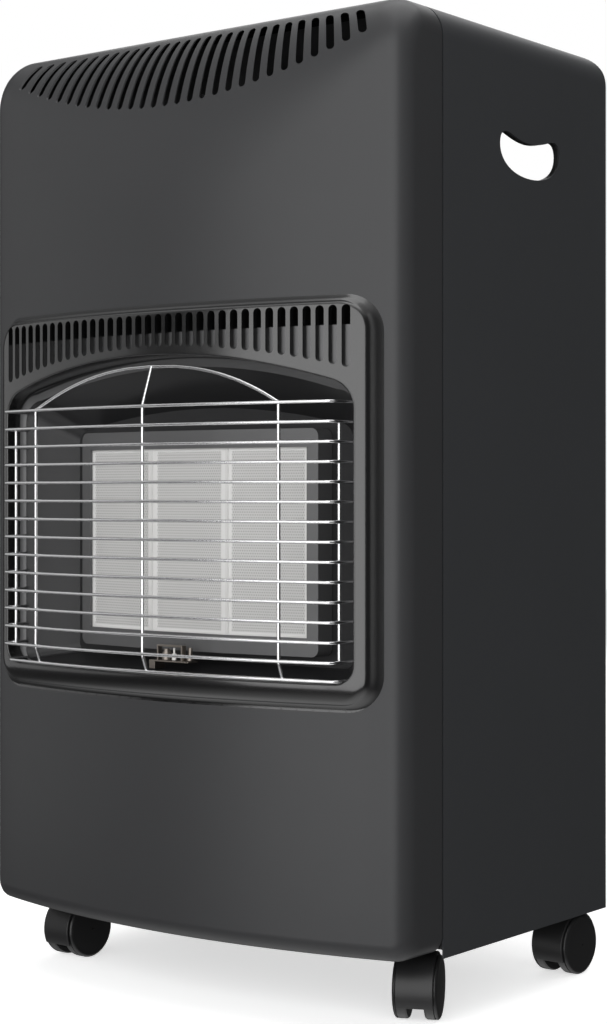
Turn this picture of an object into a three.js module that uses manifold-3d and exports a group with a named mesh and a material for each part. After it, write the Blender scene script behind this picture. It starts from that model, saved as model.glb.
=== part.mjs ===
// Portable gas cabinet heater on four swivel casters. Millimetres, +Z up, the front faces -Y.
// Inside the group, x = 0 is the middle, y = 0 the seam between front cover and cabinet, z = 0 the floor.
import * as THREE from 'three';
import { mergeVertices } from 'three/addons/utils/BufferGeometryUtils.js';
import Module from 'manifold-3d';

const wasm = await Module();
wasm.setup();

// ---------------------------------------------------------------- driving dimensions
const WIDTH = 420;
const CABINET_DEPTH = 240;
const CABINET_BOTTOM = 51;
const CABINET_TOP = 752;
const SHEET = 1.2;
const GAP = 0.3;
const TOP_RADIUS = 27;
const REAR_RADIUS = 14;
const REAR_FLANGE = 14;
const REAR_LIP_BOTTOM = 706;

const SEAM_GROOVE = 2;
const LIP_LENGTH = 10;
const COVER_BOTTOM = 54;
const COVER_SIDE_DEPTH = 46;
const COVER_BOW = 33;
const COVER_EDGE_RADIUS = 13;
const COVER_BOTTOM_RADIUS = 14;
const SHOULDER_BACK = 20;
const SHOULDER_MID_HEIGHT = 150;
const SHOULDER_EDGE_HEIGHT = 27;

const VENT_COUNT = 29;
const VENT_PITCH = (WIDTH - 75.88) / (VENT_COUNT - 1);
const VENT_WIDTH = 6;
const VENT_TOP = 744;
const VENT_LOW_MID = 688;
const VENT_LOW_RISE = 36;
const VENT_FAN_Y = 175;

const SURROUND_HALF = WIDTH / 2 - 15.5;
const SURROUND_BOTTOM = 233;
const SURROUND_TOP = 535;
const SURROUND_RADIUS = 28;
const FLANGE_PROUD = 2.5;
const STEP_PROUD = 5.5;
const FACE_PROUD = 8;
const STEP_INSET = 8;
const FACE_INSET = 12;
const WINDOW_OVERLAP = 14;

const OPENING_HALF = SURROUND_HALF - 18.5;
const OPENING_BOTTOM = 254;
const OPENING_TOP = 496;
const OPENING_ARCH_RADIUS = 572;
const OPENING_TOP_CORNER = 22;
const OPENING_LOW_CORNER = 14;
const SLEEVE_WALL = 2;
const SLOT_COUNT = 35;
const SLOT_PITCH = (2 * OPENING_HALF - 9.96) / (SLOT_COUNT - 1);
const SLOT_WIDTH = 6.8;
const SLOT_TOP = 527;
const SLOT_LOW_MID = 502;
const SLOT_LOW_DROP = 20;

const WIRE_COUNT = 15;
const WIRE_TOP = 457.3;
const WIRE_PITCH = 14.42;
const WIRE_LOWEST = 256.2;
const WIRE_DIAMETER = 2.4;
const POST_DIAMETER = 2.6;
const GUARD_PROUD = 16.3;
const GUARD_LOW_PROUD = 11;
const GUARD_HALF = OPENING_HALF - 9;
const GUARD_BOW = 29;
const GUARD_BEND = 6;
const GUARD_POST_X = GUARD_HALF - 43.3;
const GUARD_SIDE_POST_Y = -64.7;
const GUARD_ARCH_TOP = 488;
const GUARD_ARCH_Y = -82.5;
const WELD = 0.7;

const HOUSING_FRONT_Y = -50;
const HOUSING_BACK_Y = -14;
const HOUSING_BACK_HALF = 142;
const HOUSING_BACK_BOTTOM = 260;
const HOUSING_BACK_TOP = 458;
const HOUSING_FLANGE = 14;
const HOUSING_FLANGE_TOP = 513;

const PLAQUE_WIDTH = 75;
const PLAQUE_HEIGHT = 147;
const PLAQUE_THICK = 13;
const PLAQUE_FRONT_Y = -40;
const PLAQUE_BOTTOM = 281;
const PLAQUE_TURN = 6.8;
const FRAME_BORDER = 12;
const FRAME_SIDE = 8;
const FRAME_LIP = 2;
const FRAME_PROUD = 2.6;
const BURNER_DEPTH = 33;
const BURNER_INSET = 4;
const VENTURI_RADIUS = 9.5;
const VENTURI_DROP = 46;

const RAIL_SIZE = 12;
const RAIL_Z = 218;
const INJECTOR_RADIUS = 3;
const SHIELD_Y = 24;
const SHIELD_TOP = 700;
const TRAY_BOTTOM = 57;
const TRAY_RIM = 22;

const HANDLE_Y = 122.8;
const HANDLE_Z = 653;
const HANDLE_HALF = 44;
const HANDLE_UP = 15.6;
const HANDLE_DOWN = 18;
const HANDLE_SAG = 6.3;
const LINER_WALL = 1.6;
const LINER_DEPTH = 4.5;

const PANEL_HALF = 82;
const PANEL_FRONT_Y = CABINET_DEPTH - 90;
const PANEL_BACK_Y = CABINET_DEPTH - 24;
const PANEL_DISH = 14;
const PANEL_WALL = 2.4;
const PANEL_RIM = 5;
const KNOB_X = -38;
const BUTTON_X = 42;
const KNOB_RADIUS = 19;
const KNOB_HEIGHT = 19;
const KNOB_TRAVEL = 5;
const SPINDLE_RADIUS = 4;
const VALVE_WIDTH = 62;
const VALVE_DEPTH = 36;
const VALVE_HEIGHT = 30;
const BUTTON_RADIUS = 7.5;
const BUTTON_HEIGHT = 11;
const BUTTON_TRAVEL = 6;
const IGNITER_RADIUS = 10;
const IGNITER_LENGTH = 34;
const PIPE_DIAMETER = 8;
const PIPE_X = -64;

const REAR_COVER_TOP = 640;
const REAR_COVER_HALF = WIDTH / 2 - 14;
const REAR_BULGE = 50;
const REAR_BULGE_INSET = 24;
const REAR_BULGE_SLOPE = 46;
const REAR_CHANNEL = 8;
const LOUVRE_COUNT = 6;

const WHEEL_RADIUS = 24;
const WHEEL_WIDTH = 12;
const WHEEL_INNER = 6;
const AXLE_RADIUS = 2.6;
const CASTER_TRAIL = 14;
const HOOD_CLEARANCE = 0.6;
const HOOD_WALL = 1.6;
const HOOD_HALF = 14.2;
const STEM_RADIUS = 4;
const SOCKET_RADIUS = 8;
const HALF = WIDTH / 2;
const CASTER_FRONT_X = HALF - 38;
const CASTER_FRONT_Y = 29;
const CASTER_REAR_X = HALF - 24;
const CASTER_REAR_Y = CABINET_DEPTH - SOCKET_RADIUS - 3 * SHEET;
const CASTERS = [
  { name: 'front_left', x: -CASTER_FRONT_X, y: CASTER_FRONT_Y, turn: -2 },
  { name: 'front_right', x: CASTER_FRONT_X, y: CASTER_FRONT_Y, turn: 26 },
  { name: 'rear_left', x: -CASTER_REAR_X, y: CASTER_REAR_Y, turn: 12 },
  { name: 'rear_right', x: CASTER_REAR_X, y: CASTER_REAR_Y, turn: -2 },
];
const SMALL = 0.01;
const deg = THREE.MathUtils.degToRad;

// ---------------------------------------------------------------- finishes
const finish = {
  paint: { color: 0x3a3b3d, roughness: 0.45, metalness: 0.25 },
  sidePaint: { color: 0x333436, roughness: 0.5, metalness: 0.2 },
  surround: { color: 0x2c2d2f, roughness: 0.4, metalness: 0.2 },
  chrome: { color: 0xd9dadb, roughness: 0.18, metalness: 1 },
  darkSteel: { color: 0x3c3c3e, roughness: 0.35, metalness: 0.8 },
  zinc: { color: 0xa6a8aa, roughness: 0.4, metalness: 0.9 },
  ceramic: { color: 0xd6d5d1, roughness: 0.9, metalness: 0 },
  brass: { color: 0xb08d4f, roughness: 0.35, metalness: 1 },
  black: { color: 0x1c1c1e, roughness: 0.5, metalness: 0 },
  red: { color: 0x8f1d1a, roughness: 0.4, metalness: 0 },
  copper: { color: 0x9a6a4a, roughness: 0.4, metalness: 1 },
};

// ---------------------------------------------------------------- shape helpers
function toSolid(geometry) {
  const bare = geometry.clone();
  bare.deleteAttribute('normal');
  bare.deleteAttribute('uv');
  const merged = mergeVertices(bare, 1e-4);
  const data = { numProp: 3, vertProperties: merged.attributes.position.array, triVerts: merged.index.array };
  return new wasm.Manifold(new wasm.Mesh(data));
}

function toGeometry(solid) {
  const mesh = solid.getMesh();
  const geometry = new THREE.BufferGeometry();
  geometry.setAttribute('position', new THREE.BufferAttribute(mesh.vertProperties, 3));
  geometry.setIndex(new THREE.BufferAttribute(mesh.triVerts, 1));
  geometry.computeVertexNormals();
  return geometry;
}

function part(name, solid, look) {
  const mesh = new THREE.Mesh(toGeometry(solid), new THREE.MeshStandardMaterial(look));
  mesh.name = name;
  return mesh;
}

const join = (...solids) => solids.reduce((whole, next) => whole.add(next));
const cut = (body, ...tools) => tools.reduce((whole, next) => whole.subtract(next), body);

function polygon(points) {
  return new THREE.Shape(points.map(([a, b]) => new THREE.Vector2(a, b)));
}

function extrude(shape, length, curveSegments, basis) {
  const geometry = new THREE.ExtrudeGeometry(shape, { depth: length, bevelEnabled: false, curveSegments });
  geometry.applyMatrix4(basis);
  return toSolid(geometry);
}

// A shape drawn in (x, y) and raised along z, in (x, z) and run along y, or in (y, z) and run along x.
function alongZ(shape, low, high, curveSegments = 6) {
  return extrude(shape, high - low, curveSegments, new THREE.Matrix4().makeTranslation(0, 0, low));
}

function alongY(shape, low, high, curveSegments = 6) {
  const basis = new THREE.Matrix4().makeBasis(
    new THREE.Vector3(1, 0, 0), new THREE.Vector3(0, 0, 1), new THREE.Vector3(0, -1, 0));
  return extrude(shape, high - low, curveSegments, basis.setPosition(0, high, 0));
}

function alongX(shape, low, high, curveSegments = 6) {
  const basis = new THREE.Matrix4().makeBasis(
    new THREE.Vector3(0, 1, 0), new THREE.Vector3(0, 0, 1), new THREE.Vector3(1, 0, 0));
  return extrude(shape, high - low, curveSegments, basis.setPosition(low, 0, 0));
}

function box(x0, x1, y0, y1, z0, z1) {
  const geometry = new THREE.BoxGeometry(x1 - x0, y1 - y0, z1 - z0);
  geometry.translate((x0 + x1) / 2, (y0 + y1) / 2, (z0 + z1) / 2);
  return toSolid(geometry);
}

// An upright turned piece from [radius, height] pairs that start and end on the axis.
function turned(profile, sides = 16) {
  const points = profile.map(([r, z]) => new THREE.Vector2(r, z));
  const geometry = new THREE.LatheGeometry(points, sides);
  geometry.rotateX(Math.PI / 2);
  return toSolid(geometry);
}

function pillar(radius, low, high, sides = 16) {
  return turned([[0, low], [radius, low], [radius, high], [0, high]], sides);
}

const at = (solid, x, y, z) => solid.translate([x, y, z]);
const leanedToX = (solid) => solid.rotate([0, 90, 0]);
const leanedToY = (solid) => solid.rotate([-90, 0, 0]);

// A closed skin over rings of equal length; both end rings are convex and are closed by a fan.
function loft(rings) {
  const count = rings[0].length;
  const positions = rings.flat().flatMap((p) => [p[0], p[1], p[2]]);
  const index = [];
  for (let i = 0; i < rings.length - 1; i += 1) {
    for (let j = 0; j < count; j += 1) {
      const a = i * count + j;
      const b = i * count + ((j + 1) % count);
      index.push(a, a + count, b, b, a + count, b + count);
    }
  }
  const last = (rings.length - 1) * count;
  for (let j = 1; j < count - 1; j += 1) {
    index.push(0, j, j + 1, last, last + j + 1, last + j);
  }
  const geometry = new THREE.BufferGeometry();
  geometry.setAttribute('position', new THREE.Float32BufferAttribute(positions, 3));
  geometry.setIndex(index);
  return toSolid(geometry);
}

// A round bar along a bent line that lies in one plane; across is that plane's normal.
function rod(points, diameter, across, sides = 6) {
  const line = points.map((p) => new THREE.Vector3(...p));
  const normal = new THREE.Vector3(...across);
  return loft(line.map((p, i) => {
    const before = p.clone().sub(line[Math.max(i - 1, 0)]).normalize();
    const after = line[Math.min(i + 1, line.length - 1)].clone().sub(p).normalize();
    const along = before.add(after).normalize();
    const side = along.clone().cross(normal).normalize();
    return Array.from({ length: sides }, (_, k) => {
      const angle = ((k + 0.5) * 2 * Math.PI) / sides;
      return p.clone().addScaledVector(side, Math.cos(angle) * diameter / 2)
        .addScaledVector(normal, Math.sin(angle) * diameter / 2).toArray();
    });
  }));
}

const bar = (from, to, diameter) => rod([from, to], diameter, [1, 0, 0]);

function roundedRect(halfWidth, low, high, radius, middle = 0) {
  const shape = new THREE.Shape();
  const left = middle - halfWidth;
  const right = middle + halfWidth;
  shape.moveTo(left + radius, low);
  shape.lineTo(right - radius, low);
  shape.absarc(right - radius, low + radius, radius, -Math.PI / 2, 0);
  shape.lineTo(right, high - radius);
  shape.absarc(right - radius, high - radius, radius, 0, Math.PI / 2);
  shape.lineTo(left + radius, high);
  shape.absarc(left + radius, high - radius, radius, Math.PI / 2, Math.PI);
  shape.lineTo(left, low + radius);
  shape.absarc(left + radius, low + radius, radius, Math.PI, 1.5 * Math.PI);
  return shape;
}

// ---------------------------------------------------------------- cabinet
// The cabinet's front elevation: straight sides and a top with rounded edges.
function cabinetOutline(inset, low) {
  const half = HALF - inset;
  const radius = TOP_RADIUS - inset;
  const top = CABINET_TOP - inset;
  const shape = new THREE.Shape();
  shape.moveTo(-half, low);
  shape.lineTo(half, low);
  shape.lineTo(half, top - radius);
  shape.absarc(half - radius, top - radius, radius, 0, Math.PI / 2);
  shape.lineTo(-half + radius, top);
  shape.absarc(-half + radius, top - radius, radius, Math.PI / 2, Math.PI);
  return shape;
}

// The cabinet's side elevation, with the rounded edge between top and back.
function sideOutline(inset, front, low) {
  const back = CABINET_DEPTH - inset;
  const top = CABINET_TOP - inset;
  const radius = REAR_RADIUS - inset;
  const shape = new THREE.Shape();
  shape.moveTo(front, low);
  shape.lineTo(back, low);
  shape.lineTo(back, top - radius);
  shape.absarc(back - radius, top - radius, radius, 0, Math.PI / 2);
  shape.lineTo(front, top);
  return shape;
}

// The kidney-shaped grip hole in (y, z), grown outward by the given amount.
function handleOutline(grow) {
  const half = HANDLE_HALF + grow;
  const up = HANDLE_UP + grow;
  const down = HANDLE_DOWN + grow;
  const waist = up - HANDLE_SAG;
  const shape = new THREE.Shape();
  const point = (y, z) => [HANDLE_Y + y, HANDLE_Z + z];
  shape.moveTo(...point(0, -down));
  shape.bezierCurveTo(...point(half * 0.55, -down), ...point(half, -down * 0.55), ...point(half, up * 0.3));
  shape.bezierCurveTo(...point(half, up * 0.9), ...point(half * 0.85, up * 1.05), ...point(half * 0.68, up * 0.93));
  shape.bezierCurveTo(...point(half * 0.5, up * 0.78), ...point(half * 0.25, waist), ...point(0, waist));
  shape.bezierCurveTo(...point(-half * 0.25, waist), ...point(-half * 0.5, up * 0.78), ...point(-half * 0.68, up * 0.93));
  shape.bezierCurveTo(...point(-half * 0.85, up * 1.05), ...point(-half, up * 0.9), ...point(-half, up * 0.3));
  shape.bezierCurveTo(...point(-half, -down * 0.55), ...point(-half * 0.55, -down), ...point(0, -down));
  return shape;
}

function cabinetWrap() {
  const outer = alongY(cabinetOutline(0, CABINET_BOTTOM), SEAM_GROOVE, CABINET_DEPTH)
    .intersect(alongX(sideOutline(0, 0, CABINET_BOTTOM), -HALF, HALF));
  const hollow = alongY(cabinetOutline(SHEET, 0), -SEAM_GROOVE, CABINET_DEPTH)
    .intersect(alongX(sideOutline(SHEET, -SEAM_GROOVE, 0), -HALF, HALF));
  const rearOpening = box(-HALF + REAR_FLANGE, HALF - REAR_FLANGE, CABINET_DEPTH - REAR_RADIUS,
    CABINET_DEPTH + SHEET, 0, REAR_LIP_BOTTOM);
  const lipInset = SHEET + 2 * GAP;
  const lip = cut(
    alongY(cabinetOutline(lipInset, COVER_BOTTOM + COVER_BOTTOM_RADIUS), -LIP_LENGTH, SEAM_GROOVE + SHEET)
      .add(alongY(cabinetOutline(SHEET / 2, COVER_BOTTOM + COVER_BOTTOM_RADIUS), SEAM_GROOVE, SEAM_GROOVE + SHEET)),
    alongY(cabinetOutline(lipInset + SHEET, 0), -LIP_LENGTH * 2, SEAM_GROOVE * 4));
  const grips = alongX(handleOutline(0), -HALF - SHEET, HALF + SHEET, 4);
  const panelHole = box(-PANEL_HALF, PANEL_HALF, PANEL_FRONT_Y, PANEL_BACK_Y, CABINET_TOP - 2 * SHEET,
    CABINET_TOP + SHEET);
  const shell = join(cut(outer, hollow, rearOpening), lip);
  return part('cabinet_wrap', cut(shell, grips, panelHole), finish.sidePaint);
}

function handleLiner(side) {
  const outside = HALF - SHEET - GAP;
  const ring = cut(
    alongX(handleOutline(LINER_WALL * 3), outside - LINER_WALL, outside, 4)
      .add(alongX(handleOutline(LINER_WALL), outside - LINER_DEPTH, outside, 4)),
    alongX(handleOutline(0), outside - 2 * LINER_DEPTH, outside + SHEET, 4));
  const liner = side < 0 ? ring.mirror([1, 0, 0]) : ring;
  return part(side < 0 ? 'handle_liner_left' : 'handle_liner_right', liner, finish.black);
}

function baseTray() {
  const side = HALF - SHEET - GAP;
  const front = SEAM_GROOVE + SHEET + GAP;
  const back = CABINET_DEPTH - SHEET - GAP;
  const pan = cut(
    box(-side, side, front, back, TRAY_BOTTOM, TRAY_BOTTOM + TRAY_RIM),
    box(-side + SHEET, side - SHEET, front + SHEET, back - SHEET, TRAY_BOTTOM + SHEET, TRAY_BOTTOM + 2 * TRAY_RIM));
  const channelFloor = box(-side + REAR_FLANGE * 2, side - REAR_FLANGE * 2, back - SHEET,
    CABINET_DEPTH + 3 * SHEET + 2 * GAP, TRAY_BOTTOM, TRAY_BOTTOM + SHEET);
  const channelLip = box(-side + REAR_FLANGE * 2, side - REAR_FLANGE * 2, CABINET_DEPTH + 2 * SHEET + 2 * GAP,
    CABINET_DEPTH + 3 * SHEET + 2 * GAP, TRAY_BOTTOM, TRAY_BOTTOM + REAR_CHANNEL);
  const holes = CASTERS.map((c) => at(pillar(SOCKET_RADIUS + GAP, 0, CABINET_BOTTOM + TRAY_RIM), c.x, c.y, 0));
  return part('base_tray', cut(join(pan, channelFloor, channelLip), ...holes), finish.darkSteel);
}

function heatShield() {
  const side = HALF - SHEET - GAP;
  const low = TRAY_BOTTOM + SHEET + GAP;
  const plate = box(-side, side, SHIELD_Y, SHIELD_Y + SHEET, low, SHIELD_TOP);
  const foldDepth = SHIELD_Y + REAR_FLANGE;
  const fold = (x0, x1) => box(x0, x1, SHIELD_Y, foldDepth, TRAY_BOTTOM + TRAY_RIM + GAP, SHIELD_TOP);
  const clearTray = SHEET + 2 * GAP;
  const trayNotch = (x0, x1) => box(x0, x1, 0, foldDepth, 0, TRAY_BOTTOM + TRAY_RIM + GAP);
  const pipeHole = leanedToY(pillar(PIPE_DIAMETER / 2 + GAP, 0, 4 * SHEET, 12));
  const socketNotches = CASTERS.filter((c) => c.y < CABINET_DEPTH / 2).map((c) =>
    box(c.x - SOCKET_RADIUS - 4, c.x + SOCKET_RADIUS + 4, 0, foldDepth, 0, TRAY_BOTTOM + TRAY_RIM));
  const folded = join(plate, fold(-side, -side + SHEET), fold(side - SHEET, side));
  return part('heat_shield', cut(folded,
    trayNotch(-side - 1, -side + clearTray), trayNotch(side - clearTray, side + 1), ...socketNotches,
    at(pipeHole, PIPE_X, SHIELD_Y - SHEET, RAIL_Z)), finish.zinc);
}

// ---------------------------------------------------------------- bowed front cover
// How far the bowed face stands in front of the seam at x.
const bow = (x) => COVER_SIDE_DEPTH + COVER_BOW * (1 - (x / HALF) ** 2);
const ventSpan = VENT_PITCH * (VENT_COUNT - 1) / 2;
const ease = (x) => (x / ventSpan) ** 2;
const shoulderHeight = (x) => SHOULDER_EDGE_HEIGHT
  + (SHOULDER_MID_HEIGHT - SHOULDER_EDGE_HEIGHT) * Math.max(0, 1 - (x / HALF) ** 2);
const roundDrop = (x, edge, radius) => {
  const over = Math.min(radius, Math.max(0, Math.abs(x) - (edge - radius)));
  return radius - Math.sqrt(radius ** 2 - over ** 2);
};

// One upright slice of the cover at x: back edge, top, curved shoulder, face and rounded foot.
function coverSlice(x, inset, back) {
  const half = HALF - inset;
  const top = CABINET_TOP - inset - roundDrop(x, half, TOP_RADIUS - inset);
  const low = COVER_BOTTOM + inset + roundDrop(x, half, COVER_BOTTOM_RADIUS - inset);
  const depth = bow(x) - inset - roundDrop(x, half, COVER_EDGE_RADIUS - inset);
  const height = shoulderHeight(x);
  const reach = depth - SHOULDER_BACK;
  const foot = COVER_BOTTOM_RADIUS - inset;
  const ring = [[x, back, low], [x, back, top]];
  const steps = 9;
  for (let i = 0; i <= steps; i += 1) {
    const angle = (Math.PI / 2) * (1 - i / steps);
    ring.push([x, -SHOULDER_BACK - reach * Math.cos(angle), top - height * (1 - Math.sin(angle))]);
  }
  for (const angle of [0, 0.5, 1, Math.PI / 2]) {
    ring.push([x, -depth + foot * (1 - Math.cos(angle)), low + foot * (1 - Math.sin(angle))]);
  }
  return ring.reverse();
}

function coverStations(half) {
  const middle = half - TOP_RADIUS;
  const inner = Array.from({ length: 13 }, (_, i) => -middle + (middle * i) / 6);
  const arc = [0.22, 0.42, 0.6, 0.75, 0.88, 1].map((t) => middle + TOP_RADIUS * Math.sin((t * Math.PI) / 2));
  arc[arc.length - 1] = half - SMALL;
  return [...arc.map((x) => -x).reverse(), ...inner, ...arc];
}

function coverSolid(inset, back) {
  return loft(coverStations(HALF - inset).map((x) => coverSlice(x, inset, back)));
}

function ventCutter(index) {
  const x = (index - (VENT_COUNT - 1) / 2) * VENT_PITCH;
  const low = VENT_LOW_MID + VENT_LOW_RISE * ease(x);
  const span = VENT_FAN_Y + bow(x) - SHOULDER_BACK / 2;
  const far = -VENT_FAN_Y - bow(0) - HALF / 3;
  const slot = box(-VENT_WIDTH / 2, VENT_WIDTH / 2, far, -VENT_FAN_Y - SHOULDER_BACK, low, VENT_TOP);
  const angle = THREE.MathUtils.radToDeg(Math.atan2(x, span));
  return at(slot.rotate([0, 0, angle]), 0, VENT_FAN_Y, 0);
}

function frontCover() {
  const window = alongY(roundedRect(SURROUND_HALF - WINDOW_OVERLAP, SURROUND_BOTTOM + WINDOW_OVERLAP,
    SURROUND_TOP - WINDOW_OVERLAP / 2, SURROUND_RADIUS - WINDOW_OVERLAP), -2 * bow(0), 0, 4);
  const vents = Array.from({ length: VENT_COUNT }, (_, i) => ventCutter(i));
  return part('front_cover', cut(coverSolid(0, 0), coverSolid(SHEET, SHEET), window, ...vents), finish.paint);
}

// ---------------------------------------------------------------- grille surround
// A slab that follows the bow, from one offset in front of the cover's face to another, or to a flat back plane.
function bowedSlab(half, low, high, frontOffset, backOffset, flatBack) {
  const count = 12;
  return loft(Array.from({ length: count + 1 }, (_, i) => {
    const x = -half + (2 * half * i) / count;
    const front = -bow(x) - frontOffset;
    const back = flatBack === undefined ? -bow(x) - backOffset : flatBack;
    return [[x, front, low], [x, front, high], [x, back, high], [x, back, low]];
  }));
}

// The burner opening in (x, z): straight sides, a low arch on top, grown outward by the given amount.
function openingOutline(grow) {
  const half = OPENING_HALF + grow;
  const low = OPENING_BOTTOM - grow;
  const lowCorner = OPENING_LOW_CORNER + grow;
  const corner = OPENING_TOP_CORNER + grow;
  const archRadius = OPENING_ARCH_RADIUS + grow;
  const archCentre = OPENING_TOP - OPENING_ARCH_RADIUS;
  const cornerX = half - corner;
  const cornerZ = archCentre + Math.sqrt((archRadius - corner) ** 2 - cornerX ** 2);
  const meet = Math.atan2(cornerZ - archCentre, cornerX);
  const shape = new THREE.Shape();
  shape.moveTo(-half + lowCorner, low);
  shape.lineTo(half - lowCorner, low);
  shape.absarc(half - lowCorner, low + lowCorner, lowCorner, -Math.PI / 2, 0);
  shape.lineTo(half, cornerZ);
  shape.absarc(cornerX, cornerZ, corner, 0, meet);
  shape.absarc(0, archCentre, archRadius, meet, Math.PI - meet);
  shape.absarc(-cornerX, cornerZ, corner, Math.PI - meet, Math.PI);
  shape.lineTo(-half, low + lowCorner);
  shape.absarc(-half + lowCorner, low + lowCorner, lowCorner, Math.PI, 1.5 * Math.PI);
  return shape;
}

function grilleSurround() {
  const layer = (inset, front, back) => {
    const outline = roundedRect(SURROUND_HALF - inset, SURROUND_BOTTOM + inset, SURROUND_TOP - inset,
      SURROUND_RADIUS - inset);
    return bowedSlab(SURROUND_HALF, SURROUND_BOTTOM, SURROUND_TOP, front, back)
      .intersect(alongY(outline, -2 * bow(0), 0, 4));
  };
  const plate = join(layer(0, FLANGE_PROUD, GAP), layer(STEP_INSET, STEP_PROUD, GAP),
    layer(FACE_INSET, FACE_PROUD, GAP));
  const sleeve = alongY(openingOutline(SLEEVE_WALL), -2 * bow(0), 0, 8)
    .intersect(bowedSlab(SURROUND_HALF, SURROUND_BOTTOM, SURROUND_TOP, STEP_PROUD, 0, HOUSING_FRONT_Y - GAP));
  const opening = alongY(openingOutline(0), -2 * bow(0), 0, 8);
  const slots = Array.from({ length: SLOT_COUNT }, (_, i) => {
    const x = (i - (SLOT_COUNT - 1) / 2) * SLOT_PITCH;
    const low = SLOT_LOW_MID - SLOT_LOW_DROP * (i / ((SLOT_COUNT - 1) / 2) - 1) ** 2;
    return alongY(roundedRect(SLOT_WIDTH / 2, low, SLOT_TOP, SLOT_WIDTH / 2 - SMALL, x), -2 * bow(0), 0, 1);
  });
  return part('grille_surround', cut(join(plate, sleeve), opening, ...slots), finish.surround);
}

// ---------------------------------------------------------------- wire guard
// The guard's own bow is a little flatter than the cover's.
const guardFace = (x, proud) => -bow(0) - proud + GUARD_BOW * (x / HALF) ** 2;

function guardWire(index) {
  const z = index === WIRE_COUNT - 1 ? WIRE_LOWEST : WIRE_TOP - index * WIRE_PITCH;
  const proud = index === WIRE_COUNT - 1 ? GUARD_LOW_PROUD : GUARD_PROUD;
  const bendX = GUARD_HALF - GUARD_BEND;
  const bendY = guardFace(bendX, proud) + GUARD_BEND;
  const side = (sign) => [[sign * GUARD_HALF, HOUSING_FRONT_Y, z], ...[0, 45, 90].map((angle) => [
    sign * (bendX + GUARD_BEND * Math.cos(deg(angle))), bendY - GUARD_BEND * Math.sin(deg(angle)), z])];
  const across = [-2, -1, 0, 1, 2].map((k) => [k * bendX / 3, guardFace(k * bendX / 3, proud), z]);
  return rod([...side(-1), ...across, ...side(1).reverse()], WIRE_DIAMETER, [0, 0, 1]);
}

function guardPost(x) {
  const back = (WIRE_DIAMETER + POST_DIAMETER) / 2 - WELD;
  const highZ = WIRE_TOP + POST_DIAMETER / 2;
  const lowZ = WIRE_TOP - (WIRE_COUNT - 1.9) * WIRE_PITCH;
  const y = guardFace(x, GUARD_PROUD) + back;
  const footY = guardFace(x, GUARD_LOW_PROUD) + back;
  const straight = bar([x, y, lowZ], [x, y, highZ], POST_DIAMETER);
  const foot = bar([x, y, lowZ + WELD], [x, footY, WIRE_LOWEST - WIRE_DIAMETER / 2], POST_DIAMETER);
  return join(straight, foot);
}

function guardArch() {
  const back = (WIRE_DIAMETER + POST_DIAMETER) / 2 - WELD;
  const rise = GUARD_ARCH_TOP - WIRE_TOP;
  const side = (sign) => [
    [sign * GUARD_POST_X, guardFace(GUARD_POST_X, GUARD_PROUD) + back, WIRE_TOP - WIRE_PITCH * 0.6],
    [sign * GUARD_POST_X * 0.995, guardFace(GUARD_POST_X, GUARD_PROUD) + back, WIRE_TOP + 1.5],
    ...[[0.965, 0.14], [0.91, 0.25], [0.66, 0.57], [0.33, 0.88]].map(([along, up]) =>
      [sign * GUARD_POST_X * along, GUARD_ARCH_Y, WIRE_TOP + rise * up]),
  ];
  return rod([...side(-1), [0, GUARD_ARCH_Y, GUARD_ARCH_TOP], ...side(1).reverse()], POST_DIAMETER, [0, -1, 0]);
}

function wireGuard() {
  const wires = Array.from({ length: WIRE_COUNT }, (_, i) => guardWire(i));
  const posts = [-GUARD_POST_X, 0, GUARD_POST_X].map(guardPost);
  const back = (WIRE_DIAMETER + POST_DIAMETER) / 2 - WELD;
  const midBack = guardFace(0, GUARD_PROUD) + back;
  const tie = bar([0, midBack, WIRE_TOP], [0, GUARD_ARCH_Y, GUARD_ARCH_TOP], POST_DIAMETER);
  const sidePosts = [-1, 1].map((sign) => {
    const x = sign * (GUARD_HALF - back);
    return bar([x, GUARD_SIDE_POST_Y, WIRE_TOP - WIRE_PITCH * 13], [x, GUARD_SIDE_POST_Y, WIRE_TOP - WIRE_PITCH], POST_DIAMETER);
  });
  return part('wire_guard', join(...wires, ...posts, guardArch(), tie, ...sidePosts), finish.chrome);
}

// ---------------------------------------------------------------- burner recess
// A ring of points on the recess wall: share 0 is the opening at the front, share 1 the back panel.
function housingRing(share, grow, y) {
  const half = THREE.MathUtils.lerp(OPENING_HALF, HOUSING_BACK_HALF, share) + grow;
  const low = THREE.MathUtils.lerp(OPENING_BOTTOM, HOUSING_BACK_BOTTOM, share) - grow;
  const top = THREE.MathUtils.lerp(OPENING_TOP, HOUSING_BACK_TOP, share) + grow;
  const crown = THREE.MathUtils.lerp(OPENING_TOP_CORNER + 16, 19, share);
  const ring = [[-half, y, low], [half, y, low], [half, y, top - crown - 6]];
  for (const k of [0.94, 0.8, 0.6, 0.4, 0.2, 0, -0.2, -0.4, -0.6, -0.8, -0.94]) {
    ring.push([k * half, y, top - crown * k ** 2 * 0.9]);
  }
  ring.push([-half, y, top - crown - 6]);
  return ring;
}

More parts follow.
